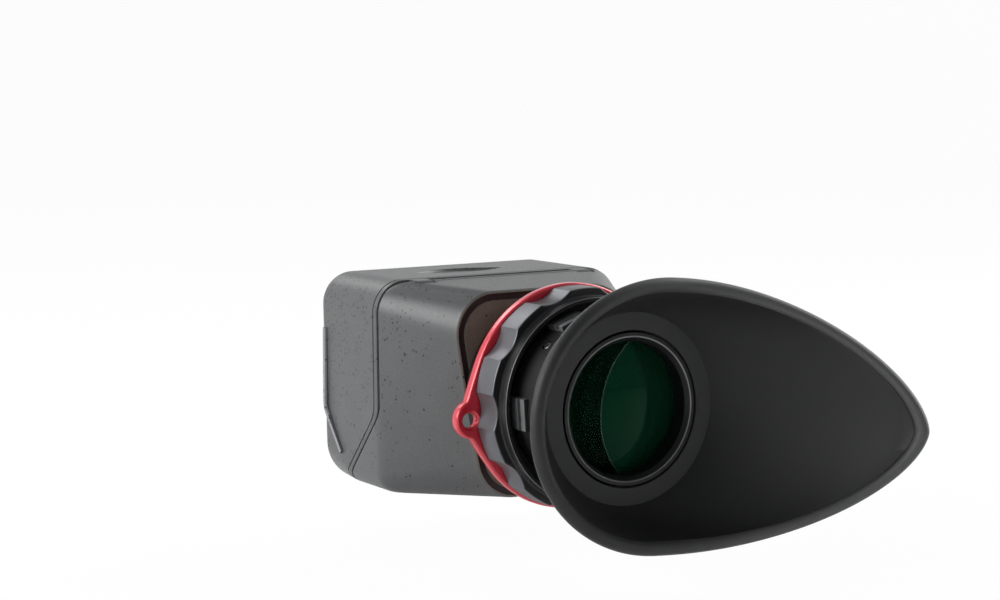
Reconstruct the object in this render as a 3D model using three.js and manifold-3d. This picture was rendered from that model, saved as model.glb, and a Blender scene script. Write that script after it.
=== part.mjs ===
// Flip-up loupe for a camera's rear screen, in millimetres.
// +X is right as the eye sees it, +Y points from the eye to the screen and +Z is up.
// The origin lies on the optical axis, in the plane where the light seal meets the screen.
// A frame stays on the screen. A tapered hood hinges on it and carries the eyepiece: a focus ring
// whose pins run in helical grooves of the lens barrel, so that the barrel slides without turning.

import * as THREE from 'three';
import { mergeVertices } from 'three/addons/utils/BufferGeometryUtils.js';
import Module from 'manifold-3d';

const wasm = await Module();
wasm.setup();

// Clearances
const FIT_GAP = 0.3;
const BORE_GAP = 0.4;
const SEAM_GAP = 0.45;
const OVERRUN = 5;
const WELD_LENGTH = 1e-4;

// Box section where hood and frame meet
const BOX_HALF_WIDTH = 38.4;
const BOX_LOWER_HALF_WIDTH = 38;
const BOX_TOP_HEIGHT = 29.8;
const BOX_BOTTOM_HEIGHT = -28.9;
const BOX_TOP_RADIUS = 9;
const BOX_BOTTOM_RADIUS = 5.5;
const BOX_CREASE_HEIGHT = -7;
const BOX_CREASE_DEPTH = 0.35;

// Light seal
const SEAL_THICKNESS = 2;
const SEAL_INSET = 0.4;

// Front frame
const FRAME_EDGE_INSET = 1.3;
const FRAME_EDGE_DEPTH = 2.7;
const FRAME_EDGE_SHARE = 1 / 3;
const FRAME_FOOT_BOTTOM_HEIGHT = -30.3;
const FRAME_FOOT_RADIUS = 11.5;
const FRAME_WALL = 4.4;
const LIP_LENGTH = 1.5;
const LIP_OFFSET = 3.1;
const LIP_TOP_HEIGHT = 21;
const TRIM_OFFSET = 1.9;
const TRIM_WIDTH = 0.4;
const TRIM_DEPTH = 0.3;
const RIDGE_HEIGHT = 0.35;
const RIDGE_WIDTH = 1.3;
const RIDGE_TOP_HEIGHT = 12;
const RIDGE_STATION = -5;
const RIDGE_BEND_HEIGHT = -9.6;
const RIDGE_END_STATION = -14.3;
const RIDGE_END_HEIGHT = -21.2;
const RECESS_LENGTH = 29;
const RECESS_WIDTH = 11;
const RECESS_DEPTH = 0.7;
const RECESS_STATION = -21.5;
const RECESS_SHIFT_LENGTH = -4.5;

// Seam between frame and hood, in side view
const SEAM_DEPTH = 36.8;
const SEAM_FOOT_DEPTH = 17.3;
const SEAM_FOOT_HEIGHT = -26.5;
const SEAM_BEND_LENGTH = 3;

// Hinge
const HINGE_ROLL_RADIUS = 3;
const HINGE_ROLL_HALF_LENGTH = 31;
const HINGE_PIN_RADIUS = 1;
const HINGE_PIN_HALF_LENGTH = 30;
const EAR_RADIUS = 2.6;
const EAR_WIDTH = 5;
const EAR_SPREAD_WIDTH = 25.5;
const EAR_ARM_HEIGHT = 1;

// Catch magnets
const MAGNET_RADIUS = 2;
const MAGNET_LENGTH = 2;
const MAGNET_SPREAD_WIDTH = 22;
const MAGNET_RECESS = 0.3;
const CATCH_WIDTH = 8;
const CATCH_HEIGHT = 5.6;
const CATCH_LENGTH = 6;
const CATCH_SETBACK = 2.5;
const CATCH_GAP = 0.6;

// Hood
const HOOD_LENGTH = 25.2;
const HOOD_WALL = 2.2;
const HOOD_REAR_WALL = 2.5;
const HOOD_REAR_SIDE_MARGIN_WIDTH = 4.2;
const HOOD_REAR_LOWER_SIDE_INSET_WIDTH = 1.5;
const HOOD_REAR_TOP_MARGIN_HEIGHT = 4.7;
const HOOD_REAR_BOTTOM_MARGIN_HEIGHT = 5.4;
const HOOD_REAR_TOP_RADIUS = 11.5;
const HOOD_REAR_BOTTOM_RADIUS = 12;
const HOOD_REAR_CREASE_DEPTH = 0.2;
const HOOD_BEVEL_WIDTH = 0.6;

// Neck between the hood and the strap ring
const NECK_WALL = 1.6;
const NECK_LENGTH = 9.9;

// Strap ring
const STRAP_RING_STEP_HEIGHT = 0.5;
const STRAP_RING_THICKNESS = 3;
const STRAP_EYE_RADIUS = 2;
const STRAP_EYE_OFFSET = 1;
const STRAP_LUG_RADIUS = 4.1;
const STRAP_LUG_ANGLE = 187.3;
const STRAP_LUG_ROOT_ANGLE = 29;
const STRAP_LUG_FLARE_SHARE = 2 / 3;
const QUARTER_ANGLE = 90;

// Focus ring
const GRIP_WALL = 6.5;
const GRIP_LENGTH = 8.7;
const GRIP_BEVEL_WIDTH = 0.4;
const SCALLOP_DEPTH = 1.5;
const SCALLOP_COUNT = 10;
const SCALLOP_PHASE = 2;
const COLLAR_WALL = 1.1;
const COLLAR_LENGTH = 3;

// Guide tube
const TUBE_RADIUS = 22.9;
const TUBE_WALL = 1.55;
const TUBE_FLANGE_WIDTH = 1.7;
const TUBE_FLANGE_THICKNESS = 2.3;
const TUBE_PAD_RADIUS = 3;
const TUBE_PAD_OFFSET = 2.1;
const TUBE_SCREW_ANGLES = [40, 140, 233, 307];
const TUBE_SCREW_RADIUS = 1;
const TUBE_SCREW_HEAD_RADIUS = 1.9;
const TUBE_SCREW_HEAD_HEIGHT = 1.2;
const TUBE_SCREW_GRIP_LENGTH = 1.7;
const RETAINER_RING_WIDTH = 2.8;
const RETAINER_RING_THICKNESS = 1.2;
const RETAINER_RING_SETBACK = 5.2;

// Focusing drive
const FOCUS_TRAVEL = 6;
const FOCUS_ANGLE = 120;
const DRIVE_PIN_RADIUS = 1;
const DRIVE_PIN_SEAT_DEPTH = 3;
const DRIVE_PIN_SETBACK = 2.2;
const DRIVE_START_ANGLES = [90, 270];
const GROOVE_DEPTH = 1.3;
const GROOVE_SIDE_GAP = 0.35;
const GUIDE_SCREW_ANGLES = [60, 240];
const GUIDE_SCREW_INSET = 2.6;
const GUIDE_SCREW_RADIUS = 1;

// Lens barrel
const BARREL_SLIDE_GAP = 0.35;
const BARREL_STEP_HEIGHT = 2;
const BARREL_WALL = 2.8;
const BARREL_FRONT_WALL = 2.4;
const BARREL_NOSE_LENGTH = 0.4;
const KEY_COUNT = 5;
const KEY_PHASE = 183;
const KEY_WIDTH = 8.4;
const KEY_HEIGHT = 1.2;
const KEY_LENGTH = 8;
const KEY_GROOVE_WIDTH = 1.8;
const KEY_GROOVE_OFFSET = 2.4;
const KEY_GROOVE_DEPTH = 1;
const KEY_SETBACK = 0.8;
const BARREL_SCREW_RADIUS = 1.2;
const BARREL_SCREW_PHASE = 134.6;
const BARREL_SCREW_COUNT = 3;
const BARREL_SCREW_TIP_GAP = 0.2;
const SNAP_GROOVE_DEPTH = 0.4;
const SNAP_GROOVE_WIDTH = 2.2;
const SNAP_BEAD_WIDTH = 1.6;

// Glass
const LENS_EDGE_GAP = 0.3;
const FIELD_LENS_EDGE_THICKNESS = 4;
const FIELD_LENS_FRONT_HEIGHT = 1.8;
const FIELD_LENS_REAR_HEIGHT = 0.9;
const SPACER_WALL = 1.3;
const SPACER_LENGTH = 3.2;
const EYE_LENS_EDGE_THICKNESS = 6.9;
const EYE_LENS_FRONT_HEIGHT = 1;
const EYE_LENS_REAR_HEIGHT = 2.6;
const BEZEL_WALL = 2.3;
const BEZEL_BEVEL_WIDTH = 1;
const BEZEL_BEVEL_DEPTH = 1.2;
const BEZEL_LENGTH = 5.4;

// Eyepiece end
const EYECUP_RING_LENGTH = 4.3;
const EYECUP_RING_WALL = 1.9;

// Eyecup
const CUP_WALL = 1.6;
const CUP_FLANGE_THICKNESS = 1.4;
const CUP_FLANGE_INSET = 0.2;
const CUP_FLANGE_BORE_GAP = 0.5;
const CUP_COLLAR_WALL = 1.5;
const CUP_COLLAR_LENGTH = 3.1;
const CUP_BEAD_RADIUS = 1.8;
const CUP_RIM_HALF_HEIGHT = 33.4;
const CUP_RIM_BACK_LENGTH = 39.2;
const CUP_RIM_TIP_LENGTH = 61.5;
const CUP_RIM_DEPTH = 15.5;
const CUP_BACK_DEPTH = 3.1;
const CUP_SIDE_RISE_DEPTH = 4.9;
const CUP_TIP_SWEEP_DEPTH = 31.2;
const CUP_BELLY_DEPTH = 1.6;
const CUP_TIP_ANGLE = 5.5;
const CUP_TIP_POINT_SHARE = 1.24;
const CUP_TIP_FULLNESS_SHARE = 0.88;
const CUP_WALL_SHARES = [1 / 3, 2 / 3];
const CUP_BEAD_FROM_ANGLE = 200;
const CUP_BEAD_TO_ANGLE = -10;

// Smoothness of the curved faces
const ROUND_STEPS = 44;
const PIN_STEPS = 12;
const ROLL_STEPS = 24;
const EYE_STEPS = 20;
const SLOT_STEPS = 8;
const CORNER_STEPS = 5;
const LAND_STEPS = 3;
const LENS_STEPS = 3;
const GLASS_STEPS = 36;
const GROOVE_STEPS = 12;
const CUP_STEPS = 48;
const BEAD_STEPS = 5;

// Places that follow from the sizes above
const farAway = 4 * (BOX_HALF_WIDTH + SEAM_DEPTH);
const frameFront = -(SEAL_THICKNESS + FIT_GAP);
const seamStation = -SEAM_DEPTH;
const hoodFront = seamStation - SEAM_GAP;
const hingeStation = hoodFront - HINGE_ROLL_RADIUS;
const hingeHeight = BOX_TOP_HEIGHT - HINGE_ROLL_RADIUS;
const hoodRear = seamStation - HOOD_LENGTH;
const bulkheadFront = hoodRear + HOOD_REAR_WALL;
const neckFront = hoodRear - FIT_GAP;
const neckRear = neckFront - NECK_LENGTH;
const strapFront = neckRear - FIT_GAP;
const strapRear = strapFront - STRAP_RING_THICKNESS;
const gripFront = strapRear - FIT_GAP;
const gripRear = gripFront - GRIP_LENGTH;
const collarRear = gripRear - COLLAR_LENGTH;
const drivePinStation = gripFront - DRIVE_PIN_SETBACK;
const gripBoreRadius = TUBE_RADIUS + BORE_GAP;
const gripRadius = gripBoreRadius + GRIP_WALL;
const strapRingRadius = gripRadius + STRAP_RING_STEP_HEIGHT;
const strapEyeStation = strapRingRadius + STRAP_EYE_OFFSET;
const neckRadius = gripBoreRadius + NECK_WALL;
const tubeBoreRadius = TUBE_RADIUS - TUBE_WALL;
const tubeFlangeRadius = TUBE_RADIUS + TUBE_FLANGE_WIDTH;
const tubePadStation = TUBE_RADIUS + TUBE_PAD_OFFSET;
const retainerRingBoreRadius = TUBE_RADIUS + FIT_GAP;
const retainerRingRadius = retainerRingBoreRadius + RETAINER_RING_WIDTH;
const collarBoreRadius = retainerRingRadius + FIT_GAP;
const collarRadius = collarBoreRadius + COLLAR_WALL;
const barrelFrontRadius = tubeBoreRadius - BARREL_SLIDE_GAP;
const barrelFrontBoreRadius = barrelFrontRadius - BARREL_FRONT_WALL;
const barrelRadius = barrelFrontRadius + BARREL_STEP_HEIGHT;
const barrelBoreRadius = barrelRadius - BARREL_WALL;
const tubeFront = bulkheadFront + FIT_GAP + TUBE_FLANGE_THICKNESS;
const stepStation = gripFront - RETAINER_RING_SETBACK;
const retainerRingFront = stepStation - FIT_GAP;
const tubeRear = retainerRingFront - RETAINER_RING_THICKNESS;
const keyFront = tubeRear - KEY_SETBACK;
const barrelFront = tubeFront + BARREL_NOSE_LENGTH;
const shoulderStation = keyFront;
const lensRadius = barrelBoreRadius - LENS_EDGE_GAP;
const fieldLensFront = shoulderStation - FIT_GAP;
const fieldLensRear = fieldLensFront - FIELD_LENS_EDGE_THICKNESS;
const spacerFront = fieldLensRear - FIT_GAP;
const spacerRear = spacerFront - SPACER_LENGTH;
const eyeLensFront = spacerRear - FIT_GAP;
const eyeLensRear = eyeLensFront - EYE_LENS_EDGE_THICKNESS;
const bezelFront = eyeLensRear - FIT_GAP;
const bezelBoreRadius = lensRadius - BEZEL_WALL;
const flangeStation = bezelFront - BEZEL_LENGTH;
const cupFlangeFront = flangeStation + CUP_FLANGE_THICKNESS;
const barrelRear = cupFlangeFront + FIT_GAP;
const eyecupRingFront = barrelRear + EYECUP_RING_LENGTH;
const eyecupRingRadius = barrelRadius + FIT_GAP + EYECUP_RING_WALL;
const cupFlangeRadius = eyecupRingRadius - CUP_FLANGE_INSET;
const cupFlangeBoreRadius = lensRadius + CUP_FLANGE_BORE_GAP;
const cupCollarBoreRadius = eyecupRingRadius + FIT_GAP;
const cupCollarRadius = cupCollarBoreRadius + CUP_COLLAR_WALL;
const barrelStep = tubeRear - FIT_GAP;
const guideScrewStation = neckRear + GUIDE_SCREW_INSET;
const grooveFloorRadius = barrelFrontRadius - GROOVE_DEPTH;
const grooveTipRadius = grooveFloorRadius + FIT_GAP;
const grooveHalfWidth = DRIVE_PIN_RADIUS + GROOVE_SIDE_GAP;

const boxSection = {
  half: BOX_HALF_WIDTH,
  lowerHalf: BOX_LOWER_HALF_WIDTH,
  top: BOX_TOP_HEIGHT,
  bottom: BOX_BOTTOM_HEIGHT,
  topRadius: BOX_TOP_RADIUS,
  bottomRadius: BOX_BOTTOM_RADIUS,
  bulge: BOX_CREASE_DEPTH,
};

const rearSection = {
  half: gripBoreRadius + HOOD_REAR_SIDE_MARGIN_WIDTH,
  lowerHalf: gripBoreRadius - HOOD_REAR_LOWER_SIDE_INSET_WIDTH,
  top: gripBoreRadius + HOOD_REAR_TOP_MARGIN_HEIGHT,
  bottom: -(gripBoreRadius + HOOD_REAR_BOTTOM_MARGIN_HEIGHT),
  topRadius: HOOD_REAR_TOP_RADIUS,
  bottomRadius: HOOD_REAR_BOTTOM_RADIUS,
  bulge: HOOD_REAR_CREASE_DEPTH,
};

const footSection = {
  ...boxSection,
  bottom: FRAME_FOOT_BOTTOM_HEIGHT,
  bottomRadius: FRAME_FOOT_RADIUS,
  bulge: 0,
};

// Angles and mixing

const radians = THREE.MathUtils.degToRad;

function mix(a, b, share) {
  return a + (b - a) * share;
}

// Closed meshes and solids

function signedVolume(geometry) {
  const place = geometry.attributes.position;
  const index = geometry.index.array;
  const a = new THREE.Vector3();
  const b = new THREE.Vector3();
  const c = new THREE.Vector3();
  let sum = 0;
  for (let i = 0; i < index.length; i += 3) {
    a.fromBufferAttribute(place, index[i]);
    b.fromBufferAttribute(place, index[i + 1]);
    c.fromBufferAttribute(place, index[i + 2]);
    sum += a.dot(b.cross(c));
  }
  return sum;
}

function closed(geometry) {
  const bare = geometry.clone();
  bare.deleteAttribute('normal');
  bare.deleteAttribute('uv');
  const merged = mergeVertices(bare, WELD_LENGTH);
  if (signedVolume(merged) < 0) {
    const index = merged.index.array;
    for (let i = 0; i < index.length; i += 3) {
      [index[i], index[i + 1]] = [index[i + 1], index[i]];
    }
  }
  return merged;
}

function solid(geometry) {
  const mesh = closed(geometry);
  return new wasm.Manifold(new wasm.Mesh({
    numProp: 3,
    vertProperties: new Float32Array(mesh.attributes.position.array),
    triVerts: new Uint32Array(mesh.index.array),
  }));
}

function joined(parts) {
  return parts.reduce((whole, part) => whole.add(part));
}

function cutBy(body, cutters) {
  return cutters.length ? body.subtract(joined(cutters)) : body;
}

function surface(body) {
  const mesh = body.getMesh();
  const geometry = new THREE.BufferGeometry();
  const place = new THREE.BufferAttribute(new Float32Array(mesh.vertProperties), 3);
  geometry.setAttribute('position', place);
  geometry.setIndex(new THREE.BufferAttribute(new Uint32Array(mesh.triVerts), 1));
  geometry.computeVertexNormals();
  return geometry;
}

// Forms along and round the optical axis

function revolved(profile, steps = ROUND_STEPS) {
  const points = profile.map(([radius, station]) => new THREE.Vector2(radius, station));
  return solid(new THREE.LatheGeometry(points, steps));
}

function tube(inner, outer, front, rear, steps = ROUND_STEPS) {
  const profile = [[inner, front], [outer, front], [outer, rear], [inner, rear], [inner, front]];
  return revolved(profile, steps);
}

function plug(radius, front, rear, steps = ROUND_STEPS) {
  return revolved([[0, front], [radius, front], [radius, rear], [0, rear]], steps);
}

function alongAxis(shape, front, rear, options = {}) {
  const settings = { depth: front - rear, bevelEnabled: false, curveSegments: CORNER_STEPS, ...options };
  const geometry = new THREE.ExtrudeGeometry(shape, settings);
  geometry.rotateX(Math.PI / 2);
  geometry.translate(0, front, 0);
  return solid(geometry);
}

function acrossBox(shape, halfWidth) {
  const settings = { depth: 2 * halfWidth, bevelEnabled: false, curveSegments: CORNER_STEPS };
  const geometry = new THREE.ExtrudeGeometry(shape, settings);
  const turn = new THREE.Matrix4().makeBasis(
    new THREE.Vector3(0, 1, 0),
    new THREE.Vector3(0, 0, 1),
    new THREE.Vector3(1, 0, 0),
  );
  geometry.applyMatrix4(turn);
  geometry.translate(-halfWidth, 0, 0);
  return solid(geometry);
}

function block(low, high) {
  const geometry = new THREE.BoxGeometry(high[0] - low[0], high[1] - low[1], high[2] - low[2]);
  geometry.translate((low[0] + high[0]) / 2, (low[1] + high[1]) / 2, (low[2] + high[2]) / 2);
  return solid(geometry);
}

function crossRod(radius, halfLength, station, height, steps = PIN_STEPS) {
  const geometry = new THREE.CylinderGeometry(radius, radius, 2 * halfLength, steps);
  geometry.rotateZ(Math.PI / 2);
  geometry.translate(0, station, height);
  return solid(geometry);
}

function axialRod(radius, front, rear, across, height, steps = PIN_STEPS) {
  const geometry = new THREE.CylinderGeometry(radius, radius, front - rear, steps);
  geometry.translate(across, (front + rear) / 2, height);
  return solid(geometry);
}

function radialRod(radius, inner, outer, angle, station, steps = PIN_STEPS) {
  const geometry = new THREE.CylinderGeometry(radius, radius, outer - inner, steps);
  geometry.rotateZ(-Math.PI / 2);
  geometry.translate((inner + outer) / 2, 0, 0);
  geometry.rotateY(-radians(angle));
  geometry.translate(0, station, 0);
  return solid(geometry);
}

function onCircle(radius, angle) {
  return [radius * Math.cos(radians(angle)), radius * Math.sin(radians(angle))];
}

function sector(inner, outer, fromAngle, toAngle, front, rear) {
  const shape = new THREE.Shape();
  shape.absarc(0, 0, outer, radians(fromAngle), radians(toAngle), false);
  shape.absarc(0, 0, inner, radians(toAngle), radians(fromAngle), true);
  return alongAxis(shape, front, rear, { curveSegments: SLOT_STEPS });
}

// A skin over rings of equal count, closed at both ends from the rings' middles
function loft(rings) {
  const count = rings[0].length;
  const points = rings.flat();
  const index = [];
  for (let r = 0; r + 1 < rings.length; r += 1) {
    for (let i = 0; i < count; i += 1) {
      const a = r * count + i;
      const b = r * count + ((i + 1) % count);
      index.push(a, b, a + count, b, b + count, a + count);
    }
  }
  const last = points.length - count;
  const nearEnd = points.push(middleOf(rings[0])) - 1;
  const farEnd = points.push(middleOf(rings[rings.length - 1])) - 1;
  for (let i = 0; i < count; i += 1) {
    const next = (i + 1) % count;
    index.push(next, i, nearEnd, last + i, last + next, farEnd);
  }
  const geometry = new THREE.BufferGeometry().setFromPoints(points);
  geometry.setIndex(index);
  return solid(geometry);
}

function middleOf(ring) {
  return ring.reduce((sum, point) => sum.add(point), new THREE.Vector3()).divideScalar(ring.length);
}

// Box sections: corners of two radii joined by the line that touches both

function sectionOutline(section) {
  const upper = [section.half - section.topRadius, section.top - section.topRadius];
  const lower = [section.lowerHalf - section.bottomRadius, section.bottom + section.bottomRadius];
  const apart = Math.hypot(upper[0] - lower[0], upper[1] - lower[1]);
  const lean = Math.atan2(upper[1] - lower[1], upper[0] - lower[0]);
  const side = lean - Math.acos((section.bottomRadius - section.topRadius) / apart);
  const right = [
    ...cornerPoints(upper, section.topRadius, Math.PI / 2, side),
    creasePoint(upper, lower, section, side),
    ...cornerPoints(lower, section.bottomRadius, side, -Math.PI / 2),
  ];
  const left = right.map(([across, height]) => [-across, height]).reverse();
  return [...right, ...left];
}

function cornerPoints(centre, radius, from, to) {
  return Array.from({ length: CORNER_STEPS + 1 }, (_, i) => {
    const angle = mix(from, to, i / CORNER_STEPS);
    return [centre[0] + radius * Math.cos(angle), centre[1] + radius * Math.sin(angle)];
  });
}

function creasePoint(upper, lower, section, side) {
  const normal = [Math.cos(side), Math.sin(side)];
  const high = [upper[0] + section.topRadius * normal[0], upper[1] + section.topRadius * normal[1]];
  const low = [lower[0] + section.bottomRadius * normal[0], lower[1] + section.bottomRadius * normal[1]];
  const share = (high[1] - BOX_CREASE_HEIGHT) / (high[1] - low[1]);
  return [
    mix(high[0], low[0], share) + section.bulge * normal[0],
    mix(high[1], low[1], share) + section.bulge * normal[1],
  ];
}

function inset(section, depth) {
  return {
    ...section,
    half: section.half - depth,
    lowerHalf: section.lowerHalf - depth,
    top: section.top - depth,
    bottom: section.bottom + depth,
    topRadius: section.topRadius - depth,
    bottomRadius: section.bottomRadius - depth,
  };
}

function between(first, second, share) {
  const blend = {};
  Object.keys(first).forEach((key) => {
    blend[key] = mix(first[key], second[key], share);
  });
  return blend;
}

function ringAt(section, station) {
  return sectionOutline(section).map(([across, height]) => new THREE.Vector3(across, station, height));
}

function bar(section, front, rear) {
  return loft([ringAt(section, front), ringAt(section, rear)]);
}

function sleeve(outer, inner, front, rear) {
  return bar(outer, front, rear).subtract(bar(inner, front + OVERRUN, rear - OVERRUN));
}

// Seam in side view: down, round the bend, forward to the foot and down again

function drawSeam(shape, shift) {
  const kink = new THREE.Vector2(seamStation + shift, BOX_CREASE_HEIGHT);
  const foot = new THREE.Vector2(-SEAM_FOOT_DEPTH + shift, SEAM_FOOT_HEIGHT);
  const slope = foot.clone().sub(kink).normalize().multiplyScalar(SEAM_BEND_LENGTH);
  shape.lineTo(kink.x, kink.y + SEAM_BEND_LENGTH);
  shape.quadraticCurveTo(kink.x, kink.y, kink.x + slope.x, kink.y + slope.y);
  shape.lineTo(foot.x - slope.x, foot.y - slope.y);
  shape.quadraticCurveTo(foot.x, foot.y, foot.x, foot.y - SEAM_BEND_LENGTH);
  shape.lineTo(foot.x, -farAway);
}

function regionAhead(shift) {
  const shape = new THREE.Shape();
  shape.moveTo(seamStation + shift, farAway);
  drawSeam(shape, shift);
  shape.lineTo(farAway, -farAway);
  shape.lineTo(farAway, farAway);
  return acrossBox(shape, farAway);
}

// The hood's front edge is rolled about the hinge axis, so that it turns clear of the frame
function regionBehind() {
  const shape = new THREE.Shape();
  shape.moveTo(hingeStation, farAway);
  shape.lineTo(hingeStation, BOX_TOP_HEIGHT);
  shape.absarc(hingeStation, hingeHeight, HINGE_ROLL_RADIUS, Math.PI / 2, 0, true);
  drawSeam(shape, -SEAM_GAP);
  shape.lineTo(-farAway, -farAway);
  shape.lineTo(-farAway, farAway);
  return acrossBox(shape, farAway);
}

// Frame

function lightSeal() {
  const outer = inset(footSection, FRAME_EDGE_INSET + SEAL_INSET);
  return sleeve(outer, inset(boxSection, FRAME_WALL - SEAL_INSET), 0, -SEAL_THICKNESS);
}

// The frame's outer skin, full at the screen end, shrunk by a depth all round
function frameSkin(depth) {
  const roundedInset = FRAME_EDGE_INSET * FRAME_EDGE_SHARE;
  return loft([
    ringAt(inset(footSection, FRAME_EDGE_INSET + depth), frameFront),
    ringAt(inset(footSection, roundedInset + depth), frameFront - FRAME_EDGE_DEPTH * FRAME_EDGE_SHARE),
    ringAt(inset(footSection, depth), frameFront - FRAME_EDGE_DEPTH),
    ringAt(inset(boxSection, depth), -SEAM_FOOT_DEPTH),
    ringAt(inset(boxSection, depth), seamStation - OVERRUN),
  ]);
}

// A fine line that follows the seam round the frame
function trimLine() {
  const band = regionAhead(TRIM_OFFSET).subtract(regionAhead(TRIM_OFFSET + TRIM_WIDTH));
  return band.subtract(frameSkin(TRIM_DEPTH));
}

// A raised rib on each side, down the edge of the screen and back towards the foot of the seam
function sideRidges() {
  const bend = new THREE.Vector2(RIDGE_STATION, RIDGE_BEND_HEIGHT);
  const end = new THREE.Vector2(RIDGE_END_STATION, RIDGE_END_HEIGHT);
  const slope = end.clone().sub(bend).normalize();
  const side = new THREE.Vector2(slope.y, -slope.x).multiplyScalar(RIDGE_WIDTH);
  const cornerShift = side.clone().addScaledVector(slope, -(side.x + RIDGE_WIDTH) / slope.x);
  const shape = new THREE.Shape([
    new THREE.Vector2(RIDGE_STATION, RIDGE_TOP_HEIGHT),
    bend,
    end,
    end.clone().add(side),
    bend.clone().add(cornerShift),
    new THREE.Vector2(RIDGE_STATION - RIDGE_WIDTH, RIDGE_TOP_HEIGHT),
  ]);
  const core = block(
    [FRAME_WALL / 2 - BOX_LOWER_HALF_WIDTH, -farAway, -farAway],
    [BOX_LOWER_HALF_WIDTH - FRAME_WALL / 2, farAway, farAway],
  );
  return acrossBox(shape, farAway).intersect(frameSkin(-RIDGE_HEIGHT)).subtract(core);
}

function frameLip() {
  const outer = inset(boxSection, LIP_OFFSET);
  const lining = sleeve(outer, inset(boxSection, FRAME_WALL), -SEAM_FOOT_DEPTH / 2, seamStation - OVERRUN);
  const below = block([-farAway, -farAway, -farAway], [farAway, farAway, LIP_TOP_HEIGHT]);
  const notches = [-1, 1].map((side) => lipNotch(side * MAGNET_SPREAD_WIDTH));
  return cutBy(lining.intersect(regionAhead(-LIP_LENGTH)).intersect(below), notches);
}

// Room in the lip for a boss of the hood
function lipNotch(across) {
  const half = CATCH_WIDTH / 2 + BORE_GAP;
  return block(
    [across - half, hoodCatchFace - OVERRUN, BOX_BOTTOM_HEIGHT],
    [across + half, hoodCatchFace + FIT_GAP, 0],
  );
}

function hingeEar(across) {
  const half = EAR_WIDTH / 2;
  const eye = crossRod(EAR_RADIUS, half, hingeStation, hingeHeight, ROLL_STEPS);
  const arm = block(
    [-half, hingeStation, hingeHeight - EAR_RADIUS],
    [half, seamStation + FRAME_WALL / 2, hingeHeight + EAR_ARM_HEIGHT],
  );
  return eye.add(arm).translate([across, 0, 0]);
}

function catchBoss(across, face, direction, floor) {
  const rear = face + direction * CATCH_LENGTH;
  return block(
    [across - CATCH_WIDTH / 2, Math.min(face, rear), floor - HOOD_WALL / 2],
    [across + CATCH_WIDTH / 2, Math.max(face, rear), frameFloor + CATCH_HEIGHT],
  );
}

const frameFloor = BOX_BOTTOM_HEIGHT + FRAME_WALL;
const hoodFloor = BOX_BOTTOM_HEIGHT + HOOD_WALL;
const magnetHeight = frameFloor + CATCH_HEIGHT / 2;
const frameCatchFace = -(SEAM_FOOT_DEPTH + CATCH_SETBACK);
const hoodCatchFace = frameCatchFace - CATCH_GAP;

function magnetPocket(across, face, direction) {
  const end = face + direction * (MAGNET_LENGTH + MAGNET_RECESS + FIT_GAP);
  const mouth = face - direction * OVERRUN;
  return axialRod(MAGNET_RADIUS + FIT_GAP, Math.max(end, mouth), Math.min(end, mouth),
    across, magnetHeight);
}

function magnet(across, face, direction) {
  const near = face + direction * MAGNET_RECESS;
  const far = near + direction * MAGNET_LENGTH;
  return axialRod(MAGNET_RADIUS, Math.max(near, far), Math.min(near, far), across, magnetHeight);
}

// Leaf-shaped shallow recess in the frame's top
function topRecess() {
  const reach = RECESS_LENGTH / 2;
  const shape = new THREE.Shape();
  shape.moveTo(-reach, 0);
  shape.quadraticCurveTo(0, RECESS_WIDTH, reach, 0);
  shape.quadraticCurveTo(0, -RECESS_WIDTH, -reach, 0);
  const settings = { depth: OVERRUN, bevelEnabled: false, curveSegments: CORNER_STEPS };
  const geometry = new THREE.ExtrudeGeometry(shape, settings);
  geometry.translate(RECESS_SHIFT_LENGTH, RECESS_STATION, BOX_TOP_HEIGHT - RECESS_DEPTH);
  return solid(geometry);
}

function frontFrame() {
  const shell = joined([frameSkin(0), sideRidges()]).intersect(regionAhead(0));
  const opening = bar(inset(boxSection, FRAME_WALL), OVERRUN, -farAway);
  const sides = [-1, 1];
  const body = joined([shell.subtract(opening), frameLip()]);
  const ears = sides.map((side) => hingeEar(side * EAR_SPREAD_WIDTH));
  const bosses = sides.map((side) => catchBoss(side * MAGNET_SPREAD_WIDTH, frameCatchFace, 1, frameFloor));
  const pockets = sides.map((side) => magnetPocket(side * MAGNET_SPREAD_WIDTH, frameCatchFace, 1));
  const bore = crossRod(HINGE_PIN_RADIUS + FIT_GAP, farAway, hingeStation, hingeHeight);
  return cutBy(joined([body, ...ears, ...bosses]), [topRecess(), trimLine(), bore, ...pockets]);
}

// Hood

// The hood's section just ahead of its rear wall
const bulkheadSection = between(boxSection, rearSection, 1 - HOOD_REAR_WALL / HOOD_LENGTH);

function hoodOutside() {
  return loft([
    ringAt(boxSection, 0),
    ringAt(boxSection, hoodFront),
    ringAt(rearSection, hoodRear + HOOD_BEVEL_WIDTH),
    ringAt(inset(rearSection, HOOD_BEVEL_WIDTH), hoodRear),
  ]);
}

function hoodInside() {
  return loft([
    ringAt(inset(boxSection, HOOD_WALL), OVERRUN),
    ringAt(inset(boxSection, HOOD_WALL), hoodFront),
    ringAt(inset(bulkheadSection, HOOD_WALL), bulkheadFront),
  ]);
}

function earNotch(across) {
  const half = EAR_WIDTH / 2 + BORE_GAP;
  const reach = EAR_RADIUS + BORE_GAP;
  return block(
    [across - half, hingeStation - reach - FIT_GAP, hingeHeight - HINGE_ROLL_RADIUS - OVERRUN],
    [across + half, hoodFront + OVERRUN, BOX_TOP_HEIGHT + OVERRUN],
  );
}

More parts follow.
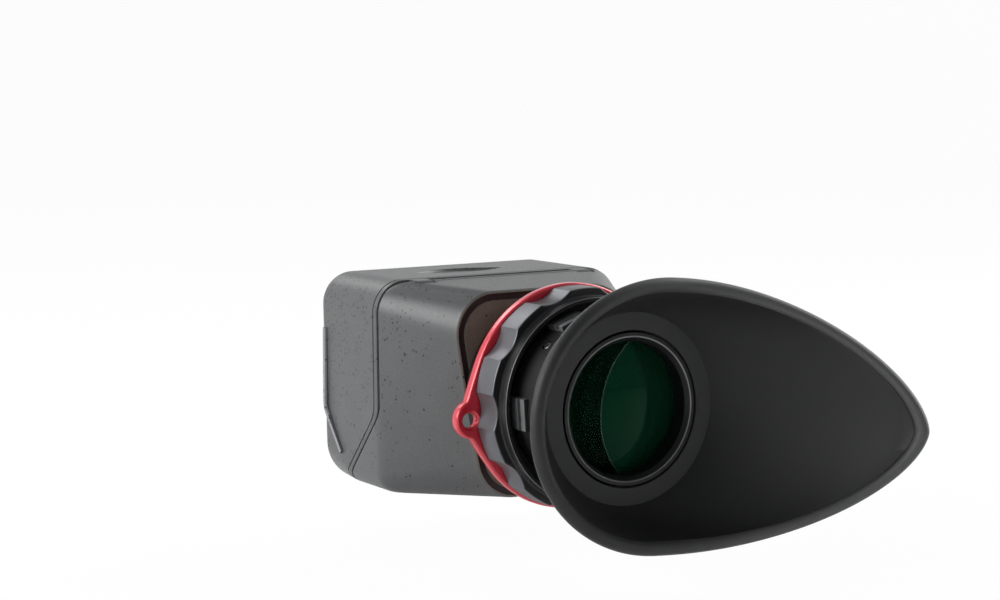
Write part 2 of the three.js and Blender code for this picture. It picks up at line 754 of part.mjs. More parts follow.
function hood() {
  const outside = hoodOutside().intersect(regionBehind());
  const shell = outside.subtract(hoodInside());
  const roll = crossRod(HINGE_ROLL_RADIUS, HINGE_ROLL_HALF_LENGTH, hingeStation, hingeHeight, ROLL_STEPS);
  const sides = [-1, 1];
  const bosses = sides.map((side) => catchBoss(side * MAGNET_SPREAD_WIDTH, hoodCatchFace, -1, hoodFloor));
  return cutBy(joined([shell, roll.intersect(outside), ...bosses]), [
    plug(gripBoreRadius, bulkheadFront + OVERRUN, neckRear - OVERRUN),
    crossRod(HINGE_PIN_RADIUS + FIT_GAP, HINGE_ROLL_HALF_LENGTH + FIT_GAP, hingeStation, hingeHeight),
    ...sides.map((side) => earNotch(side * EAR_SPREAD_WIDTH)),
    ...sides.map((side) => magnetPocket(side * MAGNET_SPREAD_WIDTH, hoodCatchFace, -1)),
    ...TUBE_SCREW_ANGLES.map((angle) => tubeScrewHole(angle)),
  ]);
}

// Neck: a plain sleeve on the guide tube between the hood's rear wall and the strap ring
function neckSleeve() {
  const body = tube(gripBoreRadius, neckRadius, neckFront, neckRear);
  return cutBy(body, GUIDE_SCREW_ANGLES.map((angle) => guideScrewHole(angle)));
}

// Guide tube and what is fixed to it

const tubeScrewTip = bulkheadFront - TUBE_SCREW_GRIP_LENGTH;

function tubeScrewHole(angle) {
  const [across, height] = onCircle(tubePadStation, angle);
  return axialRod(TUBE_SCREW_RADIUS + FIT_GAP, tubeFront + OVERRUN, tubeScrewTip - FIT_GAP, across, height);
}

function tubeScrew(angle) {
  const [across, height] = onCircle(tubePadStation, angle);
  const seat = tubeFront + FIT_GAP;
  const shank = axialRod(TUBE_SCREW_RADIUS, seat + TUBE_SCREW_HEAD_HEIGHT / 2, tubeScrewTip, across, height);
  const head = axialRod(TUBE_SCREW_HEAD_RADIUS, seat + TUBE_SCREW_HEAD_HEIGHT, seat, across, height);
  return shank.add(head);
}

function guideScrewHole(angle) {
  const radius = GUIDE_SCREW_RADIUS + FIT_GAP;
  return radialRod(radius, grooveTipRadius, neckRadius + OVERRUN, angle, guideScrewStation);
}

function guideScrew(angle) {
  return radialRod(GUIDE_SCREW_RADIUS, grooveTipRadius, neckRadius, angle, guideScrewStation);
}

function mountingPad(angle) {
  const [across, height] = onCircle(tubePadStation, angle);
  return axialRod(TUBE_PAD_RADIUS, tubeFront, bulkheadFront + FIT_GAP, across, height);
}

// A disc with four pads, trimmed to fit between the hood's walls
function tubeFlange() {
  const disc = plug(tubeFlangeRadius, tubeFront, bulkheadFront + FIT_GAP);
  const pads = TUBE_SCREW_ANGLES.map((angle) => mountingPad(angle));
  return joined([disc, ...pads]).intersect(bar(inset(bulkheadSection, HOOD_WALL + BORE_GAP), 0, hoodRear));
}

function driveSlot(angle) {
  const margin = THREE.MathUtils.radToDeg(grooveHalfWidth / TUBE_RADIUS);
  return sector(
    tubeBoreRadius - GROOVE_DEPTH, TUBE_RADIUS + GROOVE_DEPTH,
    angle - margin, angle + FOCUS_ANGLE + margin,
    drivePinStation + grooveHalfWidth, drivePinStation - grooveHalfWidth,
  );
}

function guideTube() {
  return cutBy(tubeFlange().add(plug(TUBE_RADIUS, tubeFront, tubeRear)), [
    plug(tubeBoreRadius, tubeFront + OVERRUN, tubeRear - OVERRUN),
    ...TUBE_SCREW_ANGLES.map((angle) => tubeScrewHole(angle)),
    ...GUIDE_SCREW_ANGLES.map((angle) => guideScrewHole(angle)),
    ...DRIVE_START_ANGLES.map((angle) => driveSlot(angle)),
  ]);
}

function retainingRing() {
  return tube(retainerRingBoreRadius, retainerRingRadius, retainerRingFront, tubeRear);
}

function strapEye(angle) {
  const [across, height] = onCircle(strapEyeStation, angle);
  return axialRod(STRAP_EYE_RADIUS, strapFront + OVERRUN, strapRear - OVERRUN, across, height, EYE_STEPS);
}

// A round ring with an eyelet lug on each side, whose flanks run out into the ring
function strapRing() {
  const shape = new THREE.Shape();
  const root = STRAP_LUG_ROOT_ANGLE;
  const crown = QUARTER_ANGLE - root / 2;
  const flare = root * STRAP_LUG_FLARE_SHARE;
  const flareRadius = strapRingRadius / Math.cos(radians(root - flare));
  [STRAP_LUG_ANGLE - 180, STRAP_LUG_ANGLE].forEach((angle) => {
    const centre = onCircle(strapEyeStation, angle);
    const start = onCircle(strapRingRadius, angle - root);
    const finish = onCircle(strapRingRadius, angle + root);
    const near = onCircle(flareRadius, angle - flare);
    const far = onCircle(flareRadius, angle + flare);
    const lugStart = onCircle(STRAP_LUG_RADIUS, angle - crown);
    const lugFinish = onCircle(STRAP_LUG_RADIUS, angle + crown);
    shape.absarc(0, 0, strapRingRadius, radians(angle + root - 180), radians(angle - root), false);
    shape.lineTo(start[0], start[1]);
    shape.quadraticCurveTo(near[0], near[1], centre[0] + lugStart[0], centre[1] + lugStart[1]);
    const crownFrom = radians(angle - crown);
    const crownTo = radians(angle + crown);
    shape.absarc(centre[0], centre[1], STRAP_LUG_RADIUS, crownFrom, crownTo, false);
    shape.quadraticCurveTo(far[0], far[1], finish[0], finish[1]);
  });
  const body = alongAxis(shape, strapFront, strapRear, { curveSegments: PIN_STEPS });
  return cutBy(body, [
    plug(gripBoreRadius, strapFront + OVERRUN, strapRear - OVERRUN),
    strapEye(STRAP_LUG_ANGLE),
    strapEye(STRAP_LUG_ANGLE - 180),
  ]);
}

// Focus ring: lands and concave finger scallops by turns

function gripShape() {
  const pitch = 360 / SCALLOP_COUNT;
  const scallop = pitch / 2;
  const points = [];
  for (let k = 0; k < SCALLOP_COUNT; k += 1) {
    const centre = SCALLOP_PHASE + k * pitch;
    for (let i = 0; i < CORNER_STEPS; i += 1) {
      const swing = (i - CORNER_STEPS / 2) / CORNER_STEPS;
      const dip = SCALLOP_DEPTH * (1 - 4 * swing * swing);
      points.push(onCircle(gripRadius - dip, centre + swing * scallop));
    }
    for (let i = 0; i < LAND_STEPS; i += 1) {
      const swing = (i - LAND_STEPS / 2) / LAND_STEPS;
      points.push(onCircle(gripRadius, centre + scallop + swing * scallop));
    }
  }
  return new THREE.Shape(points.map(([across, height]) => new THREE.Vector2(across, height)));
}

function drivePinHole(angle) {
  const bottom = gripBoreRadius + DRIVE_PIN_SEAT_DEPTH + FIT_GAP;
  return radialRod(DRIVE_PIN_RADIUS + FIT_GAP, TUBE_RADIUS, bottom, angle, drivePinStation);
}

function drivePin(angle) {
  const bottom = gripBoreRadius + DRIVE_PIN_SEAT_DEPTH;
  return radialRod(DRIVE_PIN_RADIUS, grooveTipRadius, bottom, angle, drivePinStation);
}

function focusRing() {
  const bevel = {
    bevelEnabled: true,
    bevelThickness: GRIP_BEVEL_WIDTH,
    bevelSize: GRIP_BEVEL_WIDTH,
    bevelOffset: -GRIP_BEVEL_WIDTH,
    bevelSegments: 1,
  };
  const grip = alongAxis(gripShape(), gripFront - GRIP_BEVEL_WIDTH, gripRear + GRIP_BEVEL_WIDTH, bevel);
  const collar = plug(collarRadius, gripRear + GRIP_LENGTH / 2, collarRear);
  return cutBy(grip.add(collar), [
    plug(gripBoreRadius, gripFront + OVERRUN, collarRear - OVERRUN),
    plug(collarBoreRadius, stepStation, collarRear - OVERRUN),
    ...DRIVE_START_ANGLES.map((angle) => drivePinHole(angle)),
  ]);
}

// Lens barrel

function helicalGroove(startAngle) {
  const margin = THREE.MathUtils.radToDeg(grooveHalfWidth / barrelFrontRadius);
  const rise = FOCUS_TRAVEL / FOCUS_ANGLE;
  const rings = [];
  for (let i = 0; i <= GROOVE_STEPS; i += 1) {
    const turn = mix(-margin, FOCUS_ANGLE + margin, i / GROOVE_STEPS);
    const station = drivePinStation + rise * turn;
    const corners = [
      [grooveFloorRadius, station - grooveHalfWidth],
      [barrelFrontRadius + BORE_GAP, station - grooveHalfWidth],
      [barrelFrontRadius + BORE_GAP, station + grooveHalfWidth],
      [grooveFloorRadius, station + grooveHalfWidth],
    ];
    rings.push(corners.map(([radius, level]) => {
      const [across, height] = onCircle(radius, startAngle + turn);
      return new THREE.Vector3(across, level, height);
    }));
  }
  return loft(rings);
}

function straightGroove(angle) {
  const cutter = block(
    [grooveFloorRadius, guideScrewStation - grooveHalfWidth, -grooveHalfWidth],
    [barrelFrontRadius + BORE_GAP, barrelFront + OVERRUN, grooveHalfWidth],
  );
  return cutter.rotate([0, -angle, 0]);
}

function keyLug(angle) {
  const foot = barrelRadius - KEY_HEIGHT;
  const crown = barrelRadius + KEY_HEIGHT;
  const lug = block([foot, keyFront - KEY_LENGTH, -KEY_WIDTH / 2], [crown, keyFront, KEY_WIDTH / 2]);
  const grooveFront = keyFront - KEY_GROOVE_OFFSET;
  const groove = block(
    [crown - KEY_GROOVE_DEPTH, grooveFront - KEY_GROOVE_WIDTH, -KEY_WIDTH],
    [crown + OVERRUN, grooveFront, KEY_WIDTH],
  );
  return lug.subtract(groove).rotate([0, -angle, 0]);
}

const snapStation = (eyecupRingFront + barrelRear) / 2;

function spreadAngles(count, phase) {
  return Array.from({ length: count }, (_, i) => phase + (i * 360) / count);
}

function lensBarrel() {
  const snapHalf = SNAP_GROOVE_WIDTH / 2;
  const snapFloor = barrelRadius - SNAP_GROOVE_DEPTH;
  const profile = [
    [barrelFrontBoreRadius, barrelFront],
    [barrelFrontRadius, barrelFront],
    [barrelFrontRadius, barrelStep],
    [barrelRadius, barrelStep],
    [barrelRadius, snapStation + snapHalf],
    [snapFloor, snapStation + snapHalf],
    [snapFloor, snapStation - snapHalf],
    [barrelRadius, snapStation - snapHalf],
    [barrelRadius, barrelRear],
    [barrelBoreRadius, barrelRear],
    [barrelBoreRadius, shoulderStation],
    [barrelFrontBoreRadius, shoulderStation],
    [barrelFrontBoreRadius, barrelFront],
  ];
  const keys = spreadAngles(KEY_COUNT, KEY_PHASE).map((angle) => keyLug(angle));
  return cutBy(joined([revolved(profile), ...keys]), [
    ...DRIVE_START_ANGLES.map((angle) => helicalGroove(angle)),
    ...GUIDE_SCREW_ANGLES.map((angle) => straightGroove(angle)),
    ...spreadAngles(BARREL_SCREW_COUNT, BARREL_SCREW_PHASE).map((angle) => barrelScrewHole(angle)),
  ]);
}

const barrelScrewStation = (spacerFront + spacerRear) / 2;

function barrelScrewHole(angle) {
  const radius = BARREL_SCREW_RADIUS + FIT_GAP;
  return radialRod(radius, lensRadius - FIT_GAP, barrelRadius + OVERRUN, angle, barrelScrewStation);
}

function barrelScrew(angle) {
  const tip = barrelBoreRadius + BARREL_SCREW_TIP_GAP;
  return radialRod(BARREL_SCREW_RADIUS, tip, barrelRadius, angle, barrelScrewStation);
}

// Glass

// One face of a lens from the middle outwards: a dome, then the flat rim that is clamped
function lensFace(edge, rise) {
  const clear = bezelBoreRadius - FIT_GAP;
  const points = [];
  for (let i = 0; i <= LENS_STEPS; i += 1) {
    const across = i / LENS_STEPS;
    points.push([clear * across, edge + rise * (1 - across * across)]);
  }
  return [...points, [lensRadius, edge]];
}

function lens(front, rear, frontRise, rearRise) {
  const rearFace = lensFace(rear, -rearRise).reverse();
  return revolved([...lensFace(front, frontRise), ...rearFace], GLASS_STEPS);
}

function bezel() {
  return revolved([
    [bezelBoreRadius, bezelFront],
    [lensRadius, bezelFront],
    [lensRadius, flangeStation],
    [bezelBoreRadius + BEZEL_BEVEL_WIDTH, flangeStation],
    [bezelBoreRadius, flangeStation + BEZEL_BEVEL_DEPTH],
    [bezelBoreRadius, bezelFront],
  ]);
}

// Eyecup

function eyecupRing() {
  const bore = barrelRadius + FIT_GAP;
  const bead = bore - SNAP_GROOVE_DEPTH;
  const beadHalf = SNAP_BEAD_WIDTH / 2;
  return revolved([
    [bore, eyecupRingFront],
    [eyecupRingRadius, eyecupRingFront],
    [eyecupRingRadius, barrelRear],
    [bore, barrelRear],
    [bore, snapStation - beadHalf],
    [bead, snapStation - beadHalf / 2],
    [bead, snapStation + beadHalf / 2],
    [bore, snapStation + beadHalf],
    [bore, eyecupRingFront],
  ]);
}

// Centre line of the rolled rim: round towards the nose, drawn out to a tip at the temple
function rimPoint(turn) {
  const along = Math.cos(turn);
  const up = Math.sin(turn);
  const outward = along >= 0;
  const reach = outward ? CUP_RIM_TIP_LENGTH * along ** CUP_TIP_FULLNESS_SHARE : CUP_RIM_BACK_LENGTH * along;
  const height = CUP_RIM_HALF_HEIGHT * Math.sign(up) * Math.abs(up) ** (outward ? CUP_TIP_POINT_SHARE : 1);
  const share = reach / (outward ? CUP_RIM_TIP_LENGTH : CUP_RIM_BACK_LENGTH);
  const tipward = CUP_SIDE_RISE_DEPTH * share - CUP_TIP_SWEEP_DEPTH * share * share;
  const swept = outward ? tipward : CUP_BACK_DEPTH * share;
  return new THREE.Vector3(reach, flangeStation - CUP_RIM_DEPTH + swept, height);
}

function cupProfile(turn) {
  const ray = new THREE.Vector3(Math.cos(turn), 0, Math.sin(turn));
  const at = (radius, station) => ray.clone().multiplyScalar(radius).setY(station);
  const rim = rimPoint(turn);
  const outward = new THREE.Vector3(rim.x, 0, rim.z).normalize();
  const corner = at(cupFlangeRadius, flangeStation);
  const sink = outward.clone().add(new THREE.Vector3(0, 1, 0)).normalize();
  const inner = rim.clone().addScaledVector(sink, -CUP_BEAD_RADIUS / 2);
  const wall = CUP_WALL_SHARES.map((share) => corner.clone().lerp(inner, share)
    .addScaledVector(sink, CUP_BELLY_DEPTH * 4 * share * (1 - share)));
  const shell = wall.map((point) => point.clone().addScaledVector(sink, CUP_WALL)).reverse();
  const bead = Array.from({ length: BEAD_STEPS }, (_, i) => {
    const swing = radians(mix(CUP_BEAD_FROM_ANGLE, CUP_BEAD_TO_ANGLE, i / (BEAD_STEPS - 1)));
    return rim.clone()
      .addScaledVector(outward, CUP_BEAD_RADIUS * Math.cos(swing))
      .setY(rim.y - CUP_BEAD_RADIUS * Math.sin(swing));
  });
  const collarFront = cupFlangeFront + CUP_COLLAR_LENGTH;
  return [
    at(cupFlangeBoreRadius, flangeStation), corner, ...wall, ...bead, ...shell,
    at(cupCollarRadius, cupFlangeFront), at(cupCollarRadius, collarFront),
    at(cupCollarBoreRadius, collarFront), at(cupCollarBoreRadius, cupFlangeFront),
    at(cupFlangeBoreRadius, cupFlangeFront),
  ];
}

function eyecup() {
  const profiles = Array.from({ length: CUP_STEPS }, (_, i) => cupProfile((2 * Math.PI * i) / CUP_STEPS));
  const count = profiles[0].length;
  const index = [];
  for (let i = 0; i < CUP_STEPS; i += 1) {
    for (let j = 0; j < count; j += 1) {
      const a = i * count + j;
      const b = i * count + ((j + 1) % count);
      const c = ((i + 1) % CUP_STEPS) * count + j;
      const d = ((i + 1) % CUP_STEPS) * count + ((j + 1) % count);
      index.push(a, b, c, b, d, c);
    }
  }
  const geometry = new THREE.BufferGeometry().setFromPoints(profiles.flat());
  geometry.setIndex(index);
  return closed(geometry);
}

// Materials

const finishes = {
  shell: new THREE.MeshStandardMaterial({ color: 0x565759, roughness: 0.6, metalness: 0 }),
  foam: new THREE.MeshStandardMaterial({ color: 0x1c1c1c, roughness: 0.95, metalness: 0 }),
  steel: new THREE.MeshStandardMaterial({ color: 0xa8a8aa, roughness: 0.35, metalness: 1 }),
  magnet: new THREE.MeshStandardMaterial({ color: 0xb9bbbd, roughness: 0.3, metalness: 1 }),
  red: new THREE.MeshStandardMaterial({ color: 0xc8102e, roughness: 0.35, metalness: 0.8 }),
  grip: new THREE.MeshStandardMaterial({ color: 0x6e7174, roughness: 0.5, metalness: 0.4 }),
  black: new THREE.MeshStandardMaterial({ color: 0x101011, roughness: 0.45, metalness: 0.1 }),
  glass: new THREE.MeshStandardMaterial({ color: 0x14402a, roughness: 0.05, metalness: 0 }),
  rubber: new THREE.MeshStandardMaterial({ color: 0x2a2a2a, roughness: 0.75, metalness: 0 }),
};

// Assembly

const loupe = new THREE.Group();
loupe.name = 'loupe';

function add(parent, name, shape, finish) {
  const geometry = shape.isBufferGeometry ? shape : surface(shape);
  const mesh = new THREE.Mesh(geometry, finish);
  mesh.name = name;
  parent.add(mesh);
  return mesh;
}

// Steel screws and pins that differ only in their angle round the axis
function addAlike(parent, name, angles, makeOne) {
  angles.forEach((angle, i) => add(parent, `${name}_${i + 1}`, makeOne(angle), finishes.steel));
}

function addFrame(parent) {
  add(parent, 'front_frame', frontFrame(), finishes.shell);
  add(parent, 'light_seal', lightSeal(), finishes.foam);
  const hingePin = crossRod(HINGE_PIN_RADIUS, HINGE_PIN_HALF_LENGTH, hingeStation, hingeHeight);
  add(parent, 'hinge_pin', hingePin, finishes.steel);
  add(parent, 'frame_magnet_left', magnet(-MAGNET_SPREAD_WIDTH, frameCatchFace, 1), finishes.magnet);
  add(parent, 'frame_magnet_right', magnet(MAGNET_SPREAD_WIDTH, frameCatchFace, 1), finishes.magnet);
}

function addHood(parent) {
  add(parent, 'hood', hood(), finishes.shell);
  add(parent, 'hood_magnet_left', magnet(-MAGNET_SPREAD_WIDTH, hoodCatchFace, -1), finishes.magnet);
  add(parent, 'hood_magnet_right', magnet(MAGNET_SPREAD_WIDTH, hoodCatchFace, -1), finishes.magnet);
  add(parent, 'guide_tube', guideTube(), finishes.black);
  addAlike(parent, 'tube_screw', TUBE_SCREW_ANGLES, tubeScrew);
  add(parent, 'neck_sleeve', neckSleeve(), finishes.black);
  addAlike(parent, 'guide_screw', GUIDE_SCREW_ANGLES, guideScrew);
  add(parent, 'strap_ring', strapRing(), finishes.red);
  add(parent, 'retaining_ring', retainingRing(), finishes.black);
}

function addFocusRing(parent) {
  add(parent, 'focus_ring', focusRing(), finishes.grip);
  addAlike(parent, 'drive_pin', DRIVE_START_ANGLES, drivePin);
}

function addLensUnit(parent) {
  add(parent, 'lens_barrel', lensBarrel(), finishes.black);
  addAlike(parent, 'barrel_screw', spreadAngles(BARREL_SCREW_COUNT, BARREL_SCREW_PHASE), barrelScrew);
  const fieldLens = lens(fieldLensFront, fieldLensRear, FIELD_LENS_FRONT_HEIGHT, FIELD_LENS_REAR_HEIGHT);
  add(parent, 'field_lens', fieldLens, finishes.glass);
  const spacer = tube(lensRadius - SPACER_WALL, lensRadius, spacerFront, spacerRear);
  add(parent, 'spacer_ring', spacer, finishes.black);
  const eyeLens = lens(eyeLensFront, eyeLensRear, EYE_LENS_FRONT_HEIGHT, EYE_LENS_REAR_HEIGHT);
  add(parent, 'eye_lens', eyeLens, finishes.glass);
  add(parent, 'lens_retainer', bezel(), finishes.black);
}

function addEyecup(parent) {
  add(parent, 'eyecup_ring', eyecupRing(), finishes.black);
  const cup = add(parent, 'eyecup', eyecup(), finishes.rubber);
  cup.rotation.y = radians(CUP_TIP_ANGLE);
}

[addFrame, addHood, addFocusRing, addLensUnit, addEyecup].forEach((addUnit) => {
  const unit = new THREE.Group();
  addUnit(unit);
  loupe.add(unit);
});

export default loupe;
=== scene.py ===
import bisect
import math

import bmesh
import bpy
from bpy.props import FloatProperty, FloatVectorProperty, IntProperty, PointerProperty
from bpy.types import Operator, Panel, PropertyGroup
from mathutils import Matrix, Vector


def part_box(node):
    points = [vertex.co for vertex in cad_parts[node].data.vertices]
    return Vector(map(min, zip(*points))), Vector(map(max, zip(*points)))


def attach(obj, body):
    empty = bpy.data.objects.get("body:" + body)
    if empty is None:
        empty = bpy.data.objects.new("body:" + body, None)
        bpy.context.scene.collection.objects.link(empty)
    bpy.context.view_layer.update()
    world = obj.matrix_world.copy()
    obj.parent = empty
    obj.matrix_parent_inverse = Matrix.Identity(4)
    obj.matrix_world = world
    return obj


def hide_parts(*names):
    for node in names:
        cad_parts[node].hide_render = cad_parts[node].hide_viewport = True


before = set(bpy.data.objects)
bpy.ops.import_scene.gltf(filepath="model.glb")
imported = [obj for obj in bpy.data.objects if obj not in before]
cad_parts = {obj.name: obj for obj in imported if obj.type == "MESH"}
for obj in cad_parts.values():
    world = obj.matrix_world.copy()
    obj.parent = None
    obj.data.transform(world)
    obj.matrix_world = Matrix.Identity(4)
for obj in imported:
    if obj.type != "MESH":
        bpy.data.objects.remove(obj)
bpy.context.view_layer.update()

bl_info = {
    "name": "Screen loupe",
    "version": (1, 0, 0),
    "blender": (4, 5, 0),
    "location": "3D View > Sidebar > Loupe",
    "description": "Dresses the solids of a flip-up loupe for a camera's screen",
    "category": "Object",
}

# Lengths are in metres. The optical axis is Y: the eye is at -Y and the camera's screen at +Y.
MM = 0.001
FIT_GAP = 0.3 * MM
OVERRUN = 1 * MM
PIN_BORE = 1.3 * MM
PAINTED_MARK_REACH = 0.18 * MM

# How far an edge is broken or rounded, from a crisp one to a soft one
CRISP_EDGE = 0.05 * MM
FINE_EDGE = 0.1 * MM
EASED_EDGE = 0.15 * MM
BROKEN_EDGE = 0.2 * MM
BEVELLED_EDGE = 0.25 * MM
SOFT_EDGE = 0.3 * MM
GRIP_EDGES = (0.45 * MM, 0.5 * MM)
BEZEL_EDGES = (0.08 * MM, 0.06 * MM, 0.06 * MM)
SCALLOP_ROOT = 0.6 * MM
CREASE_SOFTNESS = 1.2 * MM

# A rounding takes at most this share of the sides that meet at its corner
ROUNDING_SHARE = 0.49

# Points nearer to each other than this are one
SKIN_MERGE = 0.002 * MM
CAD_MERGE = 0.005 * MM

# Shares of a rounding's radius, ahead and inwards, that a rounded edge runs through
REAR_EDGE_SHARES = ((1, 0), (0.286, 0.229), (0, 1))
OPENING_EDGE_SHARES = ((1.2, 0), (0.3, 0.3), (0, 1))
SEAL_EDGE_SHARE = 0.289
HOOD_EDGE_SHARES = (0.5, 0.267)
HOOD_INNER_EDGE_SHARES = (0.85, 0.68, 0.5, 0.32)
BEVEL_SHARES = (0.3, 0.65, 1)

# How far the light lip's corners stand out, as a share of the lip
LIP_CORNER_SHARE = 0.85

# Where the opening's wall has a row of points, and how near to the seam they may come
OPENING_STATIONS = (-20 * MM, -10 * MM)
OPENING_SETBACK = 2 * MM

# Section of the ridge, in shares of its width and rise
RIDGE_SECTION_SHARES = (
    (-0.5, -0.5), (-0.5, 0.2), (-0.36, 0.85), (0, 1), (0.36, 0.85), (0.5, 0.2), (0.5, -0.5),
)

# Size of the leaf-shaped recess at its floor and above its mouth, as shares of its size on top
LEAF_FLOOR_SHARE = 0.9
LEAF_MOUTH_SHARE = 1.12

# Rows of points on the rear plate, as shares of the way from its edge to the bore
PLATE_SHARES = (0.4, 0.8, 0.97)

# Flare of the strap eyes: share of their radius, and depth below the ring's face
EYE_FLARE = ((1.9, -1 * MM), (1.36, 0), (1.12, 0.35 * MM), (1, 0.8 * MM))

# A set screw's socket and flat rim, as shares of its radius
SOCKET_SHARE = 0.5
SCREW_RIM_SHARE = 0.82

# The outline of the rim at the temple is drawn out by these powers, and its crease starts at this share
RIM_REACH_POWER = 0.88
RIM_HEIGHT_POWER = 1.24
CREASE_START_SHARE = 0.9
BEAD_START = math.radians(205)
BEAD_END = math.radians(-25)

# A lens starts this far from the axis, and its dome is closed there by a small flat
POLE_RADIUS = 0.01 * MM

# A height far above the object, where the list of the seam's points starts
SEAM_END = 1000 * MM

# Fineness of the skins
CORNER_STEPS = 14
SIDE_STEPS = 44
FLAT_STEPS = 24
TURN_STEPS = 180
SCALLOP_STEPS = 720
LENS_STEPS = 144
CUP_STEPS = 240
EDGE_ROWS = 8
SIDE_ROWS = 24
HOOD_ROWS = 40
SEAM_STEPS = 8
ROD_STEPS = 32
ROLL_STEPS = 48
ARC_STEPS = 90
FLANK_STEPS = 16
LUG_STEPS = 36
STRAP_EDGE_ROWS = 5
EYE_STEPS = 48
SCREW_STEPS = 36
DOME_STEPS = 24
WALL_ROWS = 22
BEAD_ROWS = 16
SWEEP_ROWS = 12
LEAF_STEPS = 24
RIDGE_STEPS = 20
RIDGE_SMOOTHINGS = 3
SHARP_ANGLE = math.radians(32)

# Where the focus ring's grey ends: height above the collar, and share of the normal along the axis
GRIP_MARGIN = 0.15 * MM
GRIP_TURN = 0.8
FLANGE_MARGIN = 0.1 * MM
FLANGE_TURN = 0.98
PAINTED_HIGHLIGHT_REACH = 25 * MM

# The two discs of the painted reflection in the glass, lightest where they overlap: centre and radius
GHOST_DISCS = (((14.7 * MM, 0, -1.7 * MM), 21.5 * MM), ((-21.0 * MM, 0, 1.6 * MM), 28.4 * MM))
GHOST_EDGE = 0.25 * MM
GHOST_SINGLE = 0.6
GHOST_FRONT = -97.5 * MM

# Soft square lamps: name, place, edge length in metres, power in watts
LAMP_TARGET = (0, -0.06, 0)
SENSOR_WIDTH = 36
CLIP_START = 10 * MM
LAMPS = (
    ("Left front lamp", (-0.85, 0.22, 0.45), 0.55, 6.8),
    ("Left rear lamp", (-0.95, -0.22, 0.25), 0.4, 2.8),
    ("Back lamp", (-0.15, 0.9, 0.8), 0.45, 2.6),
    ("Top lamp", (0.75, 0.02, 0.6), 0.4, 3.4),
    ("Right rear lamp", (0.95, -0.2, 0.25), 0.3, 3.5),
)


def linear(hexcode):
    """An sRGB hex colour as linear RGB."""
    parts = [int(hexcode[i:i + 2], 16) / 255 for i in (1, 3, 5)]
    return tuple(c / 12.92 if c <= 0.04045 else ((c + 0.055) / 1.055) ** 2.4 for c in parts)


def length(name, millimetres, description):
    """A length property, given in millimetres and kept in metres."""
    return FloatProperty(name=name, description=description, default=millimetres * MM,
                         subtype="DISTANCE", unit="LENGTH", precision=5)


def degrees(name, value, description):
    """An angle property, given in degrees."""
    return FloatProperty(name=name, description=description, default=math.radians(value),
                         subtype="ANGLE", unit="ROTATION")


def side_place(name, station, height, description):
    """A place in side view, given in millimetres and kept in metres."""
    return FloatVectorProperty(name=name, description=description, default=(station * MM, height * MM),
                               size=2, unit="LENGTH", precision=5)


def colour(name, hexcode, description):
    """A colour property from a hex code."""
    return FloatVectorProperty(name=name, description=description, default=linear(hexcode),
                               subtype="COLOR", size=3, min=0, max=1)


# Sizes that a user would change


class LoupeBoxSizes(PropertyGroup):
    """The box section that frame and hood share, and the seam between them."""

    half_width: length("Half width", 38.4, "From the axis to the side, high up")
    lower_half_width: length("Lower half width", 38, "From the axis to the side, low down")
    top: length("Top", 29.8, "Height of the top above the axis")
    bottom: length("Bottom", -28.9, "Height of the underside")
    top_radius: length("Top corner radius", 9, "Rounding of the upper edges")
    bottom_radius: length("Bottom corner radius", 5.5, "Rounding of the lower edges")
    crease_height: length("Crease height", -7, "Where the side panel has its faint crease")
    crease_bulge: length("Crease bulge", 0.35, "How far the crease stands out")
    seam_depth: length("Seam depth", 36.8, "From the screen back to the seam")
    seam_gap: length("Seam gap", 0.45, "Width of the seam")
    seam_foot_depth: length("Seam foot depth", 17.3, "Where the seam reaches the underside")
    seam_foot_height: length("Seam foot height", -26.5, "Where the seam turns down again")
    seam_bend: length("Seam bend", 3, "Length over which the seam rounds each bend")


